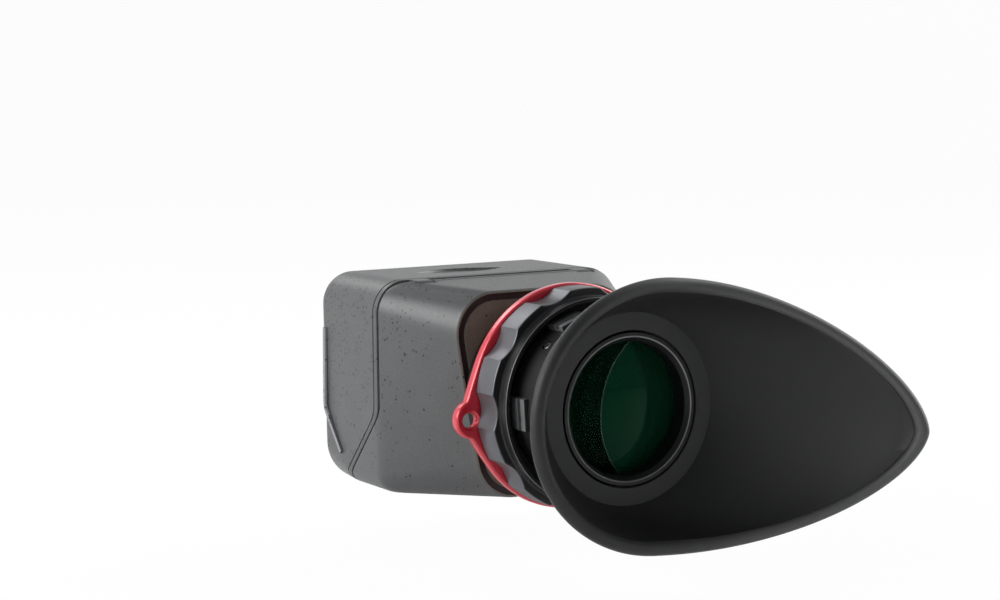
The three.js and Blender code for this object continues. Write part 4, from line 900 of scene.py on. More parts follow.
def cast_rubber(name, rgb, highlight_gain=1.0):
    # Silicone rubber, cast in a blasted mould. The eye sees a matt black that dust and grazing light grey.
    # The rim's copy is lighter towards the temple, a painted highlight.
    material, tree, place = new_material(name)
    _, shine, bump = grained(tree, place, 0.35 * MM, 3.0, (0.2, 0.8), (0.48, 0.6), 0.03 * MM, 0.4)
    dust = add_node(tree, "ShaderNodeTexNoise", {
        "Vector": place, "Scale": 1 / (7 * MM), "Detail": 3.0, "Roughness": 0.55,
    })
    tone = add_node(tree, "ShaderNodeMapRange", {"Value": dust, "From Min": 0.35, "From Max": 0.7})
    body = add_node(tree, "ShaderNodeMix", {
        0: tone, 6: opaque(rgb, 0.88), 7: opaque(rgb, 1.18),
    }, data_type="RGBA").outputs[2]
    mote = spotted(tree, place, 2.6 * MM, 0.04, 0.09, 0.5)
    dusted = add_node(tree, "ShaderNodeMix", {
        0: mote, 6: body, 7: opaque(rgb, 2.5),
    }, data_type="RGBA").outputs[2]
    across = add_node(tree, "ShaderNodeSeparateXYZ", {0: place}).outputs["X"]
    # Painted highlight: lighter towards +X, the temple
    painted_highlight_share = add_node(tree, "ShaderNodeMapRange", {
        "Value": across, "From Min": -PAINTED_HIGHLIGHT_REACH, "From Max": PAINTED_HIGHLIGHT_REACH,
    })
    surface = add_node(tree, "ShaderNodeMix", {
        0: painted_highlight_share, 6: dusted, 7: opaque(rgb, highlight_gain),
    }, data_type="RGBA").outputs[2]
    shader = add_node(tree, "ShaderNodeBsdfPrincipled", {
        "Base Color": surface, "Roughness": shine, "IOR": 1.45, "Sheen Weight": 0.15,
        "Sheen Roughness": 0.35, "Normal": bump,
    })
    add_node(tree, "ShaderNodeOutputMaterial", {"Surface": shader})
    return material


def coated_glass(colours, name, clear, body):
    # Optical glass with a broad-band coating. The eye sees a dark pane that sends back only a dim green.
    # On the eye lens a painted reflection is added: lighter green and less clear in one disc, most where it
    # overlaps another.
    material, tree, place = new_material(name)
    flat = add_node(tree, "ShaderNodeVectorMath", {0: place, 1: (1, 0, 1)}, operation="MULTIPLY")
    shares = []
    for centre, radius in GHOST_DISCS:
        apart = add_node(tree, "ShaderNodeVectorMath", {0: flat, 1: centre}, operation="DISTANCE")
        shares.append(add_node(tree, "ShaderNodeMapRange", {
            "Value": apart.outputs["Value"], "From Min": radius - GHOST_EDGE, "From Max": radius + GHOST_EDGE,
            "To Min": 1.0, "To Max": 0.0,
        }))
    second = add_node(tree, "ShaderNodeMapRange", {
        "Value": shares[1], "To Min": GHOST_SINGLE, "To Max": 1.0,
    })
    overlap = add_node(tree, "ShaderNodeMath", {0: shares[0], 1: second}, operation="MULTIPLY")
    along = add_node(tree, "ShaderNodeSeparateXYZ", {0: place}).outputs["Y"]
    near = add_node(tree, "ShaderNodeMath", {0: along, 1: GHOST_FRONT}, operation="LESS_THAN")
    ghost = add_node(tree, "ShaderNodeMath", {0: overlap, 1: near}, operation="MULTIPLY")
    reflection_tint_share = add_node(tree, "ShaderNodeMath", {0: shares[0], 1: near}, operation="MULTIPLY")
    tint = add_node(tree, "ShaderNodeMix", {
        0: reflection_tint_share, 6: opaque(body), 7: opaque(colours.ghost),
    }, data_type="RGBA").outputs[2]
    passed = add_node(tree, "ShaderNodeMapRange", {"Value": ghost, "To Min": clear, "To Max": clear * 0.6})
    smear = add_node(tree, "ShaderNodeTexNoise", {"Vector": place, "Scale": 1 / (8 * MM), "Detail": 2.0})
    wiped = add_node(tree, "ShaderNodeMapRange", {
        "Value": smear, "From Min": 0.3, "From Max": 0.7, "To Min": 0.015, "To Max": 0.05,
    })
    shader = add_node(tree, "ShaderNodeBsdfPrincipled", {
        "Base Color": tint, "Roughness": wiped, "IOR": 1.52,
        "Transmission Weight": passed, "Specular Tint": opaque(colours.coating),
    })
    add_node(tree, "ShaderNodeOutputMaterial", {"Surface": shader})
    return material


FINISHES = {}


def make_finishes(colours):
    FINISHES.update({
        "shell": moulded_abs("ABS, spark-eroded texture, dark grey", colours.shell),
        # Painted highlight on the crests of the side ridges
        "painted_highlight": moulded_abs("ABS, painted highlight on an edge", colours.painted_highlight),
        # Painted light on the rear plate
        "plate_painted_light": moulded_abs("ABS, spark-eroded texture, painted light", colours.plate_painted_light),
        "band": moulded_abs("ABS, darker band", colours.band),
        # Painted highlight on the edges of the black rings
        "wear_and_edge_highlight": worked_metal("Aluminium, painted edge highlight", colours.wear_and_edge_highlight, 0.34, 0.8, 0.4 * MM, 0.1),
        "foam": closed_cell_foam(colours),
        "steel": worked_metal("Steel, turned", colours.steel, 0.34, 1.0, 0.4 * MM, 0.12),
        "magnet": worked_metal("Nickel plate", colours.nickel, 0.22, 1.0, 0.4 * MM, 0.06),
        "black": worked_metal("Aluminium, anodised black", colours.black, 0.42, 0.3, 0.22 * MM, 0.1),
        "inner": worked_metal("Aluminium, anodised matt black", colours.inner, 0.6, 0.2, 0.22 * MM, 0.1),
        "red": dyed_aluminium(colours),
        "grip": worked_metal("Aluminium, blasted and anodised grey", colours.grip, 0.38, 0.6,
                             0.22 * MM, 0.08),
        "barrel": turned_acetal("Acetal, turned, black", colours.barrel),
        # Painted highlight on the key tops
        "key_top_highlight": turned_acetal("Acetal, grey with painted highlight", colours.key_top_highlight),
        "rubber": cast_rubber("Silicone rubber, cast, matt black", colours.rubber),
        # Painted reflection on the eyecup's flange
        "flange": cast_rubber("Silicone rubber, cast, painted reflection grey", colours.flange),
        # Painted highlight that grows towards the temple
        "rim": cast_rubber("Silicone rubber, cast, painted highlight grey", colours.rubber, 5.0),
        "glass": coated_glass(colours, "Optical glass, coated", 1.0, colours.glass),
        "field_glass": coated_glass(colours, "Optical glass, coated, inner", 0.5, colours.inner_glass),
    })


# Node trees for what repeats


def new_tree(name, sockets):
    """A Geometry Nodes tree with a geometry input and output and the named inputs."""
    tree = bpy.data.node_groups.new(name, "GeometryNodeTree")
    tree.interface.new_socket("Geometry", in_out="OUTPUT", socket_type="NodeSocketGeometry")
    tree.interface.new_socket("Geometry", in_out="INPUT", socket_type="NodeSocketGeometry")
    for label, kind in sockets:
        tree.interface.new_socket(label, in_out="INPUT", socket_type=kind)
    return tree, tree.nodes.new("NodeGroupInput"), tree.nodes.new("NodeGroupOutput")


def close_tree(tree, geometry, material, group_output):
    """Realizes what the tree made, gives it its material and ends the tree."""
    real = add_node(tree, "GeometryNodeRealizeInstances", {"Geometry": geometry})
    dressed = add_node(tree, "GeometryNodeSetMaterial", {"Geometry": real, "Material": material})
    tree.links.new(dressed.outputs[0], group_output.inputs[0])


def repeat_tree():
    """Copies of one part round the optical axis: each sits on a circle and points outwards."""
    tree, given, result = new_tree("Repeat round the axis", [
        ("Count", "NodeSocketInt"), ("Phase", "NodeSocketFloat"), ("Station", "NodeSocketFloat"),
        ("Material", "NodeSocketMaterial"),
    ])
    turn = add_node(tree, "ShaderNodeMath", {0: math.tau, 1: given.outputs["Count"]}, operation="DIVIDE")
    number = add_node(tree, "GeometryNodeInputIndex")
    swing = add_node(tree, "ShaderNodeMath", {0: number, 1: turn,
                                              2: given.outputs["Phase"]}, operation="MULTIPLY_ADD")
    back = add_node(tree, "ShaderNodeMath", {0: swing, 1: -1.0}, operation="MULTIPLY")
    rotation = add_node(tree, "ShaderNodeCombineXYZ", {"Y": back})
    place = add_node(tree, "ShaderNodeCombineXYZ", {"Y": given.outputs["Station"]})
    points = add_node(tree, "GeometryNodePoints", {"Count": given.outputs["Count"], "Position": place})
    copies = add_node(tree, "GeometryNodeInstanceOnPoints", {
        "Points": points, "Instance": given.outputs["Geometry"], "Rotation": rotation,
    })
    close_tree(tree, copies, given.outputs["Material"], result)
    return tree


def scallop_tree():
    """Concave finger scallops pressed into a ring about the optical axis, with plain lands between."""
    tree, given, result = new_tree("Scalloped ring", [
        ("Count", "NodeSocketInt"), ("Depth", "NodeSocketFloat"), ("Phase", "NodeSocketFloat"),
        ("Root radius", "NodeSocketFloat"), ("Top radius", "NodeSocketFloat"),
        ("Material", "NodeSocketMaterial"),
    ])
    place = add_node(tree, "GeometryNodeInputPosition")
    split = add_node(tree, "ShaderNodeSeparateXYZ", {0: place}).outputs
    flat = add_node(tree, "ShaderNodeCombineXYZ", {"X": split["X"], "Z": split["Z"]})
    radius = add_node(tree, "ShaderNodeVectorMath", {0: flat}, operation="LENGTH").outputs["Value"]
    turn = add_node(tree, "ShaderNodeMath", {0: split["Z"], 1: split["X"]}, operation="ARCTAN2")
    angle = add_node(tree, "ShaderNodeMath", {0: turn, 1: given.outputs["Phase"]}, operation="SUBTRACT")
    density = add_node(tree, "ShaderNodeMath", {0: given.outputs["Count"], 1: math.tau}, operation="DIVIDE")
    pitches = add_node(tree, "ShaderNodeMath", {0: angle, 1: density}, operation="MULTIPLY")
    # The swing runs from -0.5 to 0.5 over each pitch. A scallop takes half of it: its dip is a
    # parabola that meets the lands at swing 0.25, where the share is 1.
    swing = add_node(tree, "ShaderNodeMath", {0: pitches, 1: 0.5, 2: -0.5}, operation="WRAP")
    share = add_node(tree, "ShaderNodeMath", {0: swing, 1: 4.0}, operation="MULTIPLY")
    square = add_node(tree, "ShaderNodeMath", {0: share, 1: share}, operation="MULTIPLY")
    bowl = add_node(tree, "ShaderNodeMath", {0: 1.0, 1: square}, operation="SUBTRACT")
    dip = add_node(tree, "ShaderNodeMath", {0: bowl, 1: 0.0}, operation="MAXIMUM")
    reach = add_node(tree, "ShaderNodeMapRange", {
        "Value": radius, "From Min": given.outputs["Root radius"], "From Max": given.outputs["Top radius"],
        "To Min": 0.0, "To Max": 1.0,
    })
    pressed = add_node(tree, "ShaderNodeMath", {0: dip, 1: reach}, operation="MULTIPLY")
    depth = add_node(tree, "ShaderNodeMath", {0: pressed, 1: given.outputs["Depth"]}, operation="MULTIPLY")
    inward = add_node(tree, "ShaderNodeMath", {0: depth, 1: -1.0}, operation="MULTIPLY")
    outward = add_node(tree, "ShaderNodeVectorMath", {0: flat}, operation="NORMALIZE")
    offset = add_node(tree, "ShaderNodeVectorMath", {0: outward, "Scale": inward}, operation="SCALE")
    moved = add_node(tree, "GeometryNodeSetPosition", {
        "Geometry": given.outputs["Geometry"], "Offset": offset,
    })
    close_tree(tree, moved, given.outputs["Material"], result)
    return tree


def with_tree(source, tree, name, **values):
    """Runs a node tree on an object and returns the plain mesh. Inputs are set by their identifiers."""
    source.name = name + "_blank"
    modifier = source.modifiers.new("Form", "NODES")
    modifier.node_group = tree
    sockets = {
        item.name: item.identifier
        for item in tree.interface.items_tree
        if item.item_type == "SOCKET" and item.in_out == "INPUT"
    }
    for label, value in values.items():
        modifier[sockets[label.replace("_", " ")]] = value
    return as_plain_mesh(source, name)


# The frame on the screen


def frame_rings(box, sizes):
    """The frame's skin, from the front edge back to the seam and forward again inside."""
    seam = seam_points(box)
    full = outline(box_section(box))
    foot = outline(foot_section(box, sizes))
    edge = sizes.front - sizes.edge_depth
    foot_end = -box.seam_foot_depth
    ends = [interpolated(seam, p.y) for p in full]

    def skin_ring(depth, stations):
        deep_full = outline(inset(box_section(box), depth))
        deep_foot = outline(inset(foot_section(box, sizes), depth))
        ring = []
        for i, station in enumerate(stations):
            share = min(max((edge - station) / (edge - foot_end), 0), 1)
            point = deep_foot[i].lerp(deep_full[i], share)
            ring.append(Vector((point.x, station, point.y)))
        return ring

    rings = []
    for i in range(EDGE_ROWS + 1):
        swing = math.pi / 2 * i / EDGE_ROWS
        depth = sizes.edge_inset * (1 - math.sin(swing))
        station = sizes.front - sizes.edge_depth * (1 - math.cos(swing))
        rings.append(skin_ring(depth, [station] * len(foot)))
    groove = sizes.trim_offset + sizes.trim_width
    for i in range(1, SIDE_ROWS + 1):
        stations = [mix(edge, end + groove + sizes.trim_draft, i / SIDE_ROWS) for end in ends]
        rings.append(skin_ring(0, stations))
    steps = [
        (groove, sizes.trim_depth), (sizes.trim_offset, sizes.trim_depth),
        (sizes.trim_offset - sizes.trim_draft, 0),
    ]
    steps += [(sizes.rear_edge * ahead, sizes.rear_edge * depth) for ahead, depth in REAR_EDGE_SHARES]
    for ahead, depth in steps:
        rings.append(skin_ring(depth, [end + ahead for end in ends]))
    rings += lip_rings(box, sizes, seam)
    rings += opening_rings(box, sizes)
    return rings


def lip_rings(box, sizes, seam):
    """The rear rim of the frame and the light lip that stands on it below the hinge."""
    rings = []
    highest, lowest = sizes.lip_top + sizes.lip_fade, sizes.lip_top - sizes.lip_fade
    for depth, share in ((sizes.lip_offset, 0), (sizes.lip_offset + CRISP_EDGE, LIP_CORNER_SHARE),
                         (sizes.lip_offset + SOFT_EDGE, 1), (sizes.wall - SOFT_EDGE, 1),
                         (sizes.wall, LIP_CORNER_SHARE)):
        ring = []
        for point in outline(inset(box_section(box), depth)):
            lip = sizes.lip_length * smoothstep(highest, lowest, point.y)
            station = interpolated(seam, point.y) - lip * share
            ring.append(Vector((point.x, station, point.y)))
        rings.append(ring)
    return rings


def opening_rings(box, sizes):
    """The opening round the screen, with its front edge rounded."""
    seam = seam_points(box)
    edge = sizes.opening_edge
    rings = [placed(outline(inset(box_section(box), sizes.wall)), station) for station in OPENING_STATIONS]
    for ring in rings:
        for point in ring:
            point.y = max(point.y, interpolated(seam, point.z) + OPENING_SETBACK)
    for ahead, depth in OPENING_EDGE_SHARES:
        mouth = inset(box_section(box), sizes.wall - edge * depth)
        rings.append(placed(outline(mouth), sizes.front - edge * ahead))
    return rings


def side_half_width(skin_points, height):
    """The half width of an outline's right side at a height."""
    right = sorted((p.y, p.x) for p in skin_points if p.x > 0)
    return interpolated(right, height)


def side_ridge(box, sizes, side):
    """The raised rib down one side of the frame, which bends back towards the foot of the seam."""
    path = [Vector(place) for place in (sizes.ridge_top, sizes.ridge_bend, sizes.ridge_foot)]
    skin_points = outline(box_section(box))
    spine = []
    for first, last in zip(path, path[1:]):
        spine += [first.lerp(last, i / RIDGE_STEPS) for i in range(RIDGE_STEPS)]
    spine.append(path[-1])
    for _ in range(RIDGE_SMOOTHINGS):
        eased = [(a + 2 * b + c) / 4 for a, b, c in zip(spine, spine[1:], spine[2:])]
        spine = [spine[0], *eased, spine[-1]]
    rings = []
    for i, point in enumerate(spine):
        ahead = spine[min(i + 1, len(spine) - 1)] - spine[max(i - 1, 0)]
        normal = Vector((-ahead.y, ahead.x)).normalized()
        ring = []
        for sideways, rise in RIDGE_SECTION_SHARES:
            spot = point + normal * sideways * sizes.ridge_width
            half = side_half_width(skin_points, spot.y) + rise * sizes.ridge_rise
            ring.append(Vector((side * half, spot.x, spot.y)))
        rings.append(ring)
    return skin("ridge", rings, "capped")


def leaf_cutter(box, sizes):
    """The leaf-shaped recess on top of the frame, its sides sloping."""
    rings = []
    middle = Vector((sizes.recess_across, sizes.recess_station))
    for depth, share in ((sizes.recess_depth, LEAF_FLOOR_SHARE), (FINE_EDGE, 1),
                         (-2 * OVERRUN, LEAF_MOUTH_SHARE)):
        half = Vector((share * sizes.recess_length / 2, 0))
        bow = Vector((0, share * sizes.recess_width))
        leaf = bent(middle - half, middle + bow, middle + half, LEAF_STEPS)[:-1]
        leaf += bent(middle + half, middle - bow, middle - half, LEAF_STEPS)[:-1]
        rings.append([Vector((p.x, p.y, box.top - depth)) for p in leaf])
    return skin("leaf", rings, "capped")


def magnet_place(cad_magnet):
    """Middle across, height, rear and front station of a catch magnet, and the radius of its pocket."""
    low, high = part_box(cad_magnet)
    radius = (high[0] - low[0]) / 2 + FIT_GAP
    return (low[0] + high[0]) / 2, (low[2] + high[2]) / 2, low[1], high[1], radius


def catch_boss(sizes, cad_magnet, toward, floor):
    """The boss that holds a catch magnet, and the cutter for its pocket, which leaves its face open.

    The boss runs from its face towards the screen, where toward is 1, or towards the eye, where it is -1.
    """
    across, level, rear, front, radius = magnet_place(cad_magnet)
    face, end = (rear - FIT_GAP, front + FIT_GAP) if toward > 0 else (front + FIT_GAP, rear - FIT_GAP)
    stations = sorted((face, face + toward * sizes.boss_length))
    boss = block("boss", (across - sizes.boss_half_width, stations[0], floor),
                 (across + sizes.boss_half_width, stations[1], level + sizes.boss_rise), SOFT_EDGE)
    return boss, rod("pocket", (across, face - toward * OVERRUN, level), (across, end, level), radius)


def magnet_bosses(sizes, side, toward, floor):
    """The two bosses with their pockets, for the magnets of the frame or the hood."""
    made = [catch_boss(sizes, f"{side}_magnet_{hand}", toward, floor) for hand in ("left", "right")]
    return cut(joined("bosses", [boss for boss, _ in made]), [pocket for _, pocket in made])


class LoupeMakeFrame(Operator):
    """Makes the moulded frame that stays on the camera's screen"""

    bl_idname = "loupe.make_frame"
    bl_label = "Frame"

    def execute(self, context):
        box, sizes, hood = context.scene.loupe_box, context.scene.loupe_frame, context.scene.loupe_hood
        shell = skin("frame_shell", frame_rings(box, sizes))
        rooms = [self.room(box, sizes, node) for node in ("hood_magnet_left", "hood_magnet_right")]
        shell = cut(shell, [leaf_cutter(box, sizes), *rooms])
        parts = [shell, magnet_bosses(sizes, "frame", 1, box.bottom + sizes.wall - OVERRUN)]
        parts += [self.ear(box, sizes, hood, side) for side in (-1, 1)]
        parts += [side_ridge(box, sizes, side) for side in (-1, 1)]
        piece = joined("frame_moulding", parts)
        finished(piece, FINISHES["shell"], "frame", "shell_plastic", "front_frame")
        # Painted highlight: the crest of each side ridge gets a lighter copy of the shell
        crest = box.half_width + sizes.ridge_rise / 2
        refinished(piece, "painted_highlight", lambda face: abs(face.center.x) > crest)
        return {"FINISHED"}

    @staticmethod
    def room(box, sizes, cad_magnet):
        """A cutter that leaves room in the light lip for one boss of the hood."""
        across, _, _, front, _ = magnet_place(cad_magnet)
        half = sizes.boss_half_width + sizes.room_gap
        face = front + FIT_GAP
        return block("room", (across - half, face - sizes.boss_length, box.bottom),
                     (across + half, face + FIT_GAP, sizes.room_top))

    @staticmethod
    def ear(box, sizes, hood, side):
        """One hinge ear in side view: round about the pin, flush with the top, run out into the frame."""
        half = sizes.ear_width / 2
        across = side * sizes.ear_spread
        station = -(box.seam_depth + box.seam_gap + hood.roll_radius)
        level = box.top - hood.roll_radius
        root = sizes.wall / 2 - box.seam_depth
        radius = hood.roll_radius - sizes.ear_sink
        turns = [math.pi / 2 * (1 + i / EDGE_ROWS) for i in range(2 * EDGE_ROWS + 1)]
        edge = [(station + radius * math.cos(a), level + radius * math.sin(a)) for a in turns]
        edge += [(root, level - radius), (root, level + radius)]
        rings = [[Vector((x, y, z)) for y, z in edge] for x in (across - half, across + half)]
        bore = rod("bore", (across - 2 * half, station, level), (across + 2 * half, station, level), PIN_BORE)
        return cut(skin("ear", rings, "capped"), [bore])


class LoupeMakeSeal(Operator):
    """Makes the foam seal between frame and screen"""

    bl_idname = "loupe.make_seal"
    bl_label = "Light seal"

    def execute(self, context):
        box, sizes = context.scene.loupe_box, context.scene.loupe_frame
        low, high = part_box("light_seal")
        outer = inset(foot_section(box, sizes), sizes.edge_inset + sizes.seal_inset)
        inner = inset(box_section(box), sizes.wall - sizes.seal_inset)
        soft = sizes.seal_rounding
        corner = soft * SEAL_EDGE_SHARE
        rows = [(high[1], soft), (high[1] - corner, corner), (high[1] - soft, 0),
                (low[1] + soft, 0), (low[1] + corner, corner), (low[1], soft)]
        rings = [placed(outline(inset(outer, depth)), station) for station, depth in rows]
        rings += [placed(outline(inset(inner, -depth)), station) for station, depth in reversed(rows)]
        seal = skin("foam_seal", rings)
        finished(seal, FINISHES["foam"], "frame", "seal_foam", "light_seal")
        return {"FINISHED"}


# The hood


def hood_rings(box, hood):
    """The hood's skin: back along the outside, over the rear face into the bore, forward inside."""
    seam = seam_points(box)
    hood_front = -(box.seam_depth + box.seam_gap)
    rear = -(box.seam_depth + hood.length)
    bevel_station = rear + hood.bevel
    inside_end = rear + hood.rear_wall
    edge = hood.front_edge

    def skin_ring(depth, share, end_station):
        """A ring at a share of the way back. The taper sets in softly behind the seam."""
        base = outline(inset(box_section(box), depth))
        back = outline(inset(rear_section(box, hood), depth))
        soft = hood.taper_start
        ring = []
        for first, last in zip(base, back):
            station = mix(hood_front_station(seam, box, hood, first.y), end_station, share)
            behind = hood_front - station
            eased = max(behind + soft, 0) ** 2 / (4 * soft) if behind < soft else behind
            point = first.lerp(last, eased / (hood_front - bevel_station))
            ring.append(Vector((point.x, station, point.y)))
        return ring

    def plate_outline(depth):
        return outline(inset(rear_section(box, hood), hood.bevel + depth))

    along, inwards = HOOD_EDGE_SHARES
    rings = [skin_ring(edge, 0, bevel_station),
             skin_ring(edge * inwards, edge * along / hood.length, bevel_station)]
    for i in range(HOOD_ROWS + 1):
        rings.append(skin_ring(0, mix(edge / hood.length, 1, i / HOOD_ROWS), bevel_station))
    for share in BEVEL_SHARES:
        depth = hood.bevel * (1 - math.cos(share * math.pi / 2))
        station = bevel_station - hood.bevel * math.sin(share * math.pi / 2)
        rings.append(placed(plate_outline(depth - hood.bevel), station))
    band, sunk = hood.band_width, rear + hood.band_depth
    for apart, station in ((FINE_EDGE, rear), (2 * FINE_EDGE, sunk), (band - FINE_EDGE, sunk), (band, rear)):
        rings.append(placed(plate_outline(apart), station))
    face = plate_outline(band)
    angles = [math.atan2(p.y, p.x) for p in face]
    circle = [Vector((hood.bore * math.cos(a), hood.bore * math.sin(a))) for a in angles]
    for share in PLATE_SHARES:
        rings.append(placed([p.lerp(q, share) for p, q in zip(face, circle)], rear))
    rings += [placed(circle, station) for station in (rear, rear + BROKEN_EDGE, inside_end)]
    inner_back = [p.xz for p in skin_ring(hood.wall, 1, inside_end)]
    rings.append(placed([q.lerp(p, 0.5) for p, q in zip(inner_back, circle)], inside_end))
    inner_rows = HOOD_ROWS // 2
    rings += [skin_ring(hood.wall, i / inner_rows, inside_end) for i in range(inner_rows, -1, -1)]
    rings += [skin_ring(hood.wall * share, 0, bevel_station) for share in HOOD_INNER_EDGE_SHARES]
    return rings


class LoupeMakeHood(Operator):
    """Makes the moulded hood that flips up on the frame"""

    bl_idname = "loupe.make_hood"
    bl_label = "Hood"

    def execute(self, context):
        box, hood, sizes = context.scene.loupe_box, context.scene.loupe_hood, context.scene.loupe_frame
        shell = skin("hood_shell", hood_rings(box, hood))
        shell = cut(shell, [self.notch(box, hood, sizes, side) for side in (-1, 1)])
        parts = [shell, *self.roll(box, hood, sizes)]
        parts.append(magnet_bosses(sizes, "hood", -1, box.bottom + hood.wall - OVERRUN))
        piece = joined("hood_moulding", parts)
        finished(piece, FINISHES["shell"], "hood", "shell_plastic", "hood")
        # Painted light: the rear plate is a lighter, warmer copy of the shell. It lies in a darker band
        rear = min(face.center.y for face in piece.data.polygons)
        for finish, depth in (("band", 3 * PAINTED_MARK_REACH), ("plate_painted_light", PAINTED_MARK_REACH)):
            refinished(piece, finish,
                       lambda face: face.normal.y < -GRIP_TURN and face.center.y < rear + depth)
        return {"FINISHED"}

    @staticmethod
    def pin_place(box, hood):
        return -(box.seam_depth + box.seam_gap + hood.roll_radius), box.top - hood.roll_radius

    def notch(self, box, hood, sizes, side):
        """Room for one hinge ear of the frame."""
        station, level = self.pin_place(box, hood)
        half = sizes.ear_width / 2 + FIT_GAP
        reach = hood.roll_radius + FIT_GAP
        across = side * sizes.ear_spread
        beyond = hood.roll_radius + hood.notch_reach
        return block("notch", (across - half, station - reach - FIT_GAP, level - beyond),
                     (across + half, station + beyond, box.top + hood.notch_reach))

    def roll(self, box, hood, sizes):
        """The roll inside the front edge that takes the hinge pin, in three lengths between the ears."""
        station, level = self.pin_place(box, hood)
        half = sizes.ear_width / 2 + FIT_GAP
        inner, outer = sizes.ear_spread - half, sizes.ear_spread + half
        radius = hood.roll_radius - sizes.ear_sink
        lengths = [(-hood.roll_half_length, -outer), (-inner, inner), (outer, hood.roll_half_length)]
        result = []
        for start, end in lengths:
            body = rod("roll", (start, station, level), (end, station, level), radius, ROLL_STEPS)
            bore = rod("bore", (start - OVERRUN, station, level), (end + OVERRUN, station, level), PIN_BORE)
            result.append(cut(body, [bore]))
        return result


# Strap ring and focus ring


def strap_outline(rings):
    """The outline of the strap ring: a circle with two lugs whose flanks run out into it."""
    root = rings.lug_flank
    wrap = math.pi / 2 - root / 2
    flare = root * 2 / 3
    flare_radius = rings.strap_radius / math.cos(root - flare)
    lug_radius = rings.lug_radius + rings.lug_fullness

    def at(radius, angle):
        return Vector((radius * math.cos(angle), radius * math.sin(angle)))

    points = []
    for angle in (rings.lug_angle - math.pi, rings.lug_angle):
        centre = at(rings.eye_station - rings.lug_fullness, angle)
        start = angle + root - math.pi
        lug = [centre + at(lug_radius, mix(angle - wrap, angle + wrap, i / LUG_STEPS))
               for i in range(LUG_STEPS + 1)]
        before, after = at(rings.strap_radius, angle - root), at(rings.strap_radius, angle + root)
        points += [at(rings.strap_radius, mix(start, angle - root, i / ARC_STEPS)) for i in range(ARC_STEPS)]
        points += bent(before, at(flare_radius, angle - flare), lug[0], FLANK_STEPS)[:-1]
        points += lug[:-1]
        points += bent(lug[-1], at(flare_radius, angle + flare), after, FLANK_STEPS)[:-1]
    return points


def shrunk(points, depth):
    """A closed outline moved inwards by a depth."""
    result = []
    count = len(points)
    for i, point in enumerate(points):
        along = points[(i + 1) % count] - points[i - 1]
        normal = Vector((-along.y, along.x)).normalized()
        result.append(point + normal * depth)
    return result


class LoupeMakeStrapRing(Operator):
    """Makes the red ring with an eye for the neck strap on each side"""

    bl_idname = "loupe.make_strap_ring"
    bl_label = "Strap ring"

    def execute(self, context):
        sizes, hood = context.scene.loupe_rings, context.scene.loupe_hood
        outer = strap_outline(sizes)
        front, rear = sizes.strap_front, sizes.strap_front - sizes.strap_thickness
        soft, edge = sizes.strap_rounding, BEVELLED_EDGE
        turns = [math.pi / 2 * i / STRAP_EDGE_ROWS for i in range(STRAP_EDGE_ROWS + 1)]
        profile = [(soft * (1 - math.sin(a)), soft * (1 - math.cos(a))) for a in turns]
        rows = [(d, front - s) for d, s in profile] + [(d, rear + s) for d, s in reversed(profile)]
        loops = [placed(shrunk(outer, depth), station) for depth, station in rows]
        for swell, station in ((edge, rear), (0, rear + edge), (0, front - edge), (edge, front)):
            loops.append([round_the_axis(hood.bore + swell, math.atan2(p.y, p.x), station) for p in outer])
        ring = skin("strap_ring_body", loops)
        ring = cut(ring, [self.eye(sizes, angle) for angle in (sizes.lug_angle, sizes.lug_angle - math.pi)])
        finished(ring, FINISHES["red"], "hood", "red_anodised", "strap_ring")
        return {"FINISHED"}

    @staticmethod
    def eye(sizes, angle):
        """A cutter for one eye, flared at both faces."""
        centre = round_the_axis(sizes.eye_station, angle, 0)
        front, rear = sizes.strap_front, sizes.strap_front - sizes.strap_thickness
        rows = [(share, front - depth) for share, depth in EYE_FLARE]
        rows += [(share, rear + depth) for share, depth in reversed(EYE_FLARE)]
        turns = [math.tau * i / EYE_STEPS for i in range(EYE_STEPS)]
        rings = [
            [centre + round_the_axis(share * sizes.eye_radius, turn, station) for turn in turns]
            for share, station in rows
        ]
        return skin("eye", rings, "capped")


class LoupeMakeFocusRing(Operator):
    """Makes the grey scalloped ring that sets the focus"""

    bl_idname = "loupe.make_focus_ring"
    bl_label = "Focus ring"

    def execute(self, context):
        sizes, hood = context.scene.loupe_rings, context.scene.loupe_hood
        front = sizes.strap_front - sizes.strap_thickness - FIT_GAP
        rear = front - sizes.grip_length
        step = front - sizes.bore_length
        end = rear - sizes.collar_length
        collar, line = sizes.collar_radius, end + sizes.line_place
        body = rounded([
            (hood.bore, front), (sizes.grip_radius, front), (sizes.grip_radius, rear),
            (collar + sizes.collar_foot, rear), (collar, rear - sizes.collar_slope),
            (collar, line + sizes.line_half_width), (collar - sizes.line_depth, line),
            (collar, line - sizes.line_half_width), (collar, end), (sizes.collar_bore, end),
            (sizes.collar_bore, step), (hood.bore, step),
        ], [
            BROKEN_EDGE, *GRIP_EDGES, FINE_EDGE, FINE_EDGE, CRISP_EDGE, CRISP_EDGE, CRISP_EDGE,
            EASED_EDGE, EASED_EDGE, FINE_EDGE, FINE_EDGE,
        ])
        blank = turned("focus_ring_body", body, SCALLOP_STEPS)
        ring = with_tree(
            blank, scallop_tree(), "focus_ring_body", Count=sizes.scallop_count, Depth=sizes.scallop_depth,
            Phase=sizes.scallop_phase, Root_radius=collar + SCALLOP_ROOT,
            Top_radius=sizes.grip_radius - SOFT_EDGE, Material=FINISHES["grip"],
        )
        finished(ring, FINISHES["grip"], "focus", "ring_grey", "focus_ring")
        # Only the scalloped grip is grey: the ring's faces and its collar are black
        refinished(ring, "black",
                   lambda face: off_axis(face) < collar + GRIP_MARGIN or abs(face.normal.y) > GRIP_TURN)
        # Painted highlight: the collar's rear edge gets a light bare-metal colour
        refinished(ring, "wear_and_edge_highlight", lambda face: max(abs(off_axis(face) - collar),
                                                  abs(face.center.y - end)) < PAINTED_MARK_REACH)
        return {"FINISHED"}


# Barrel and glass


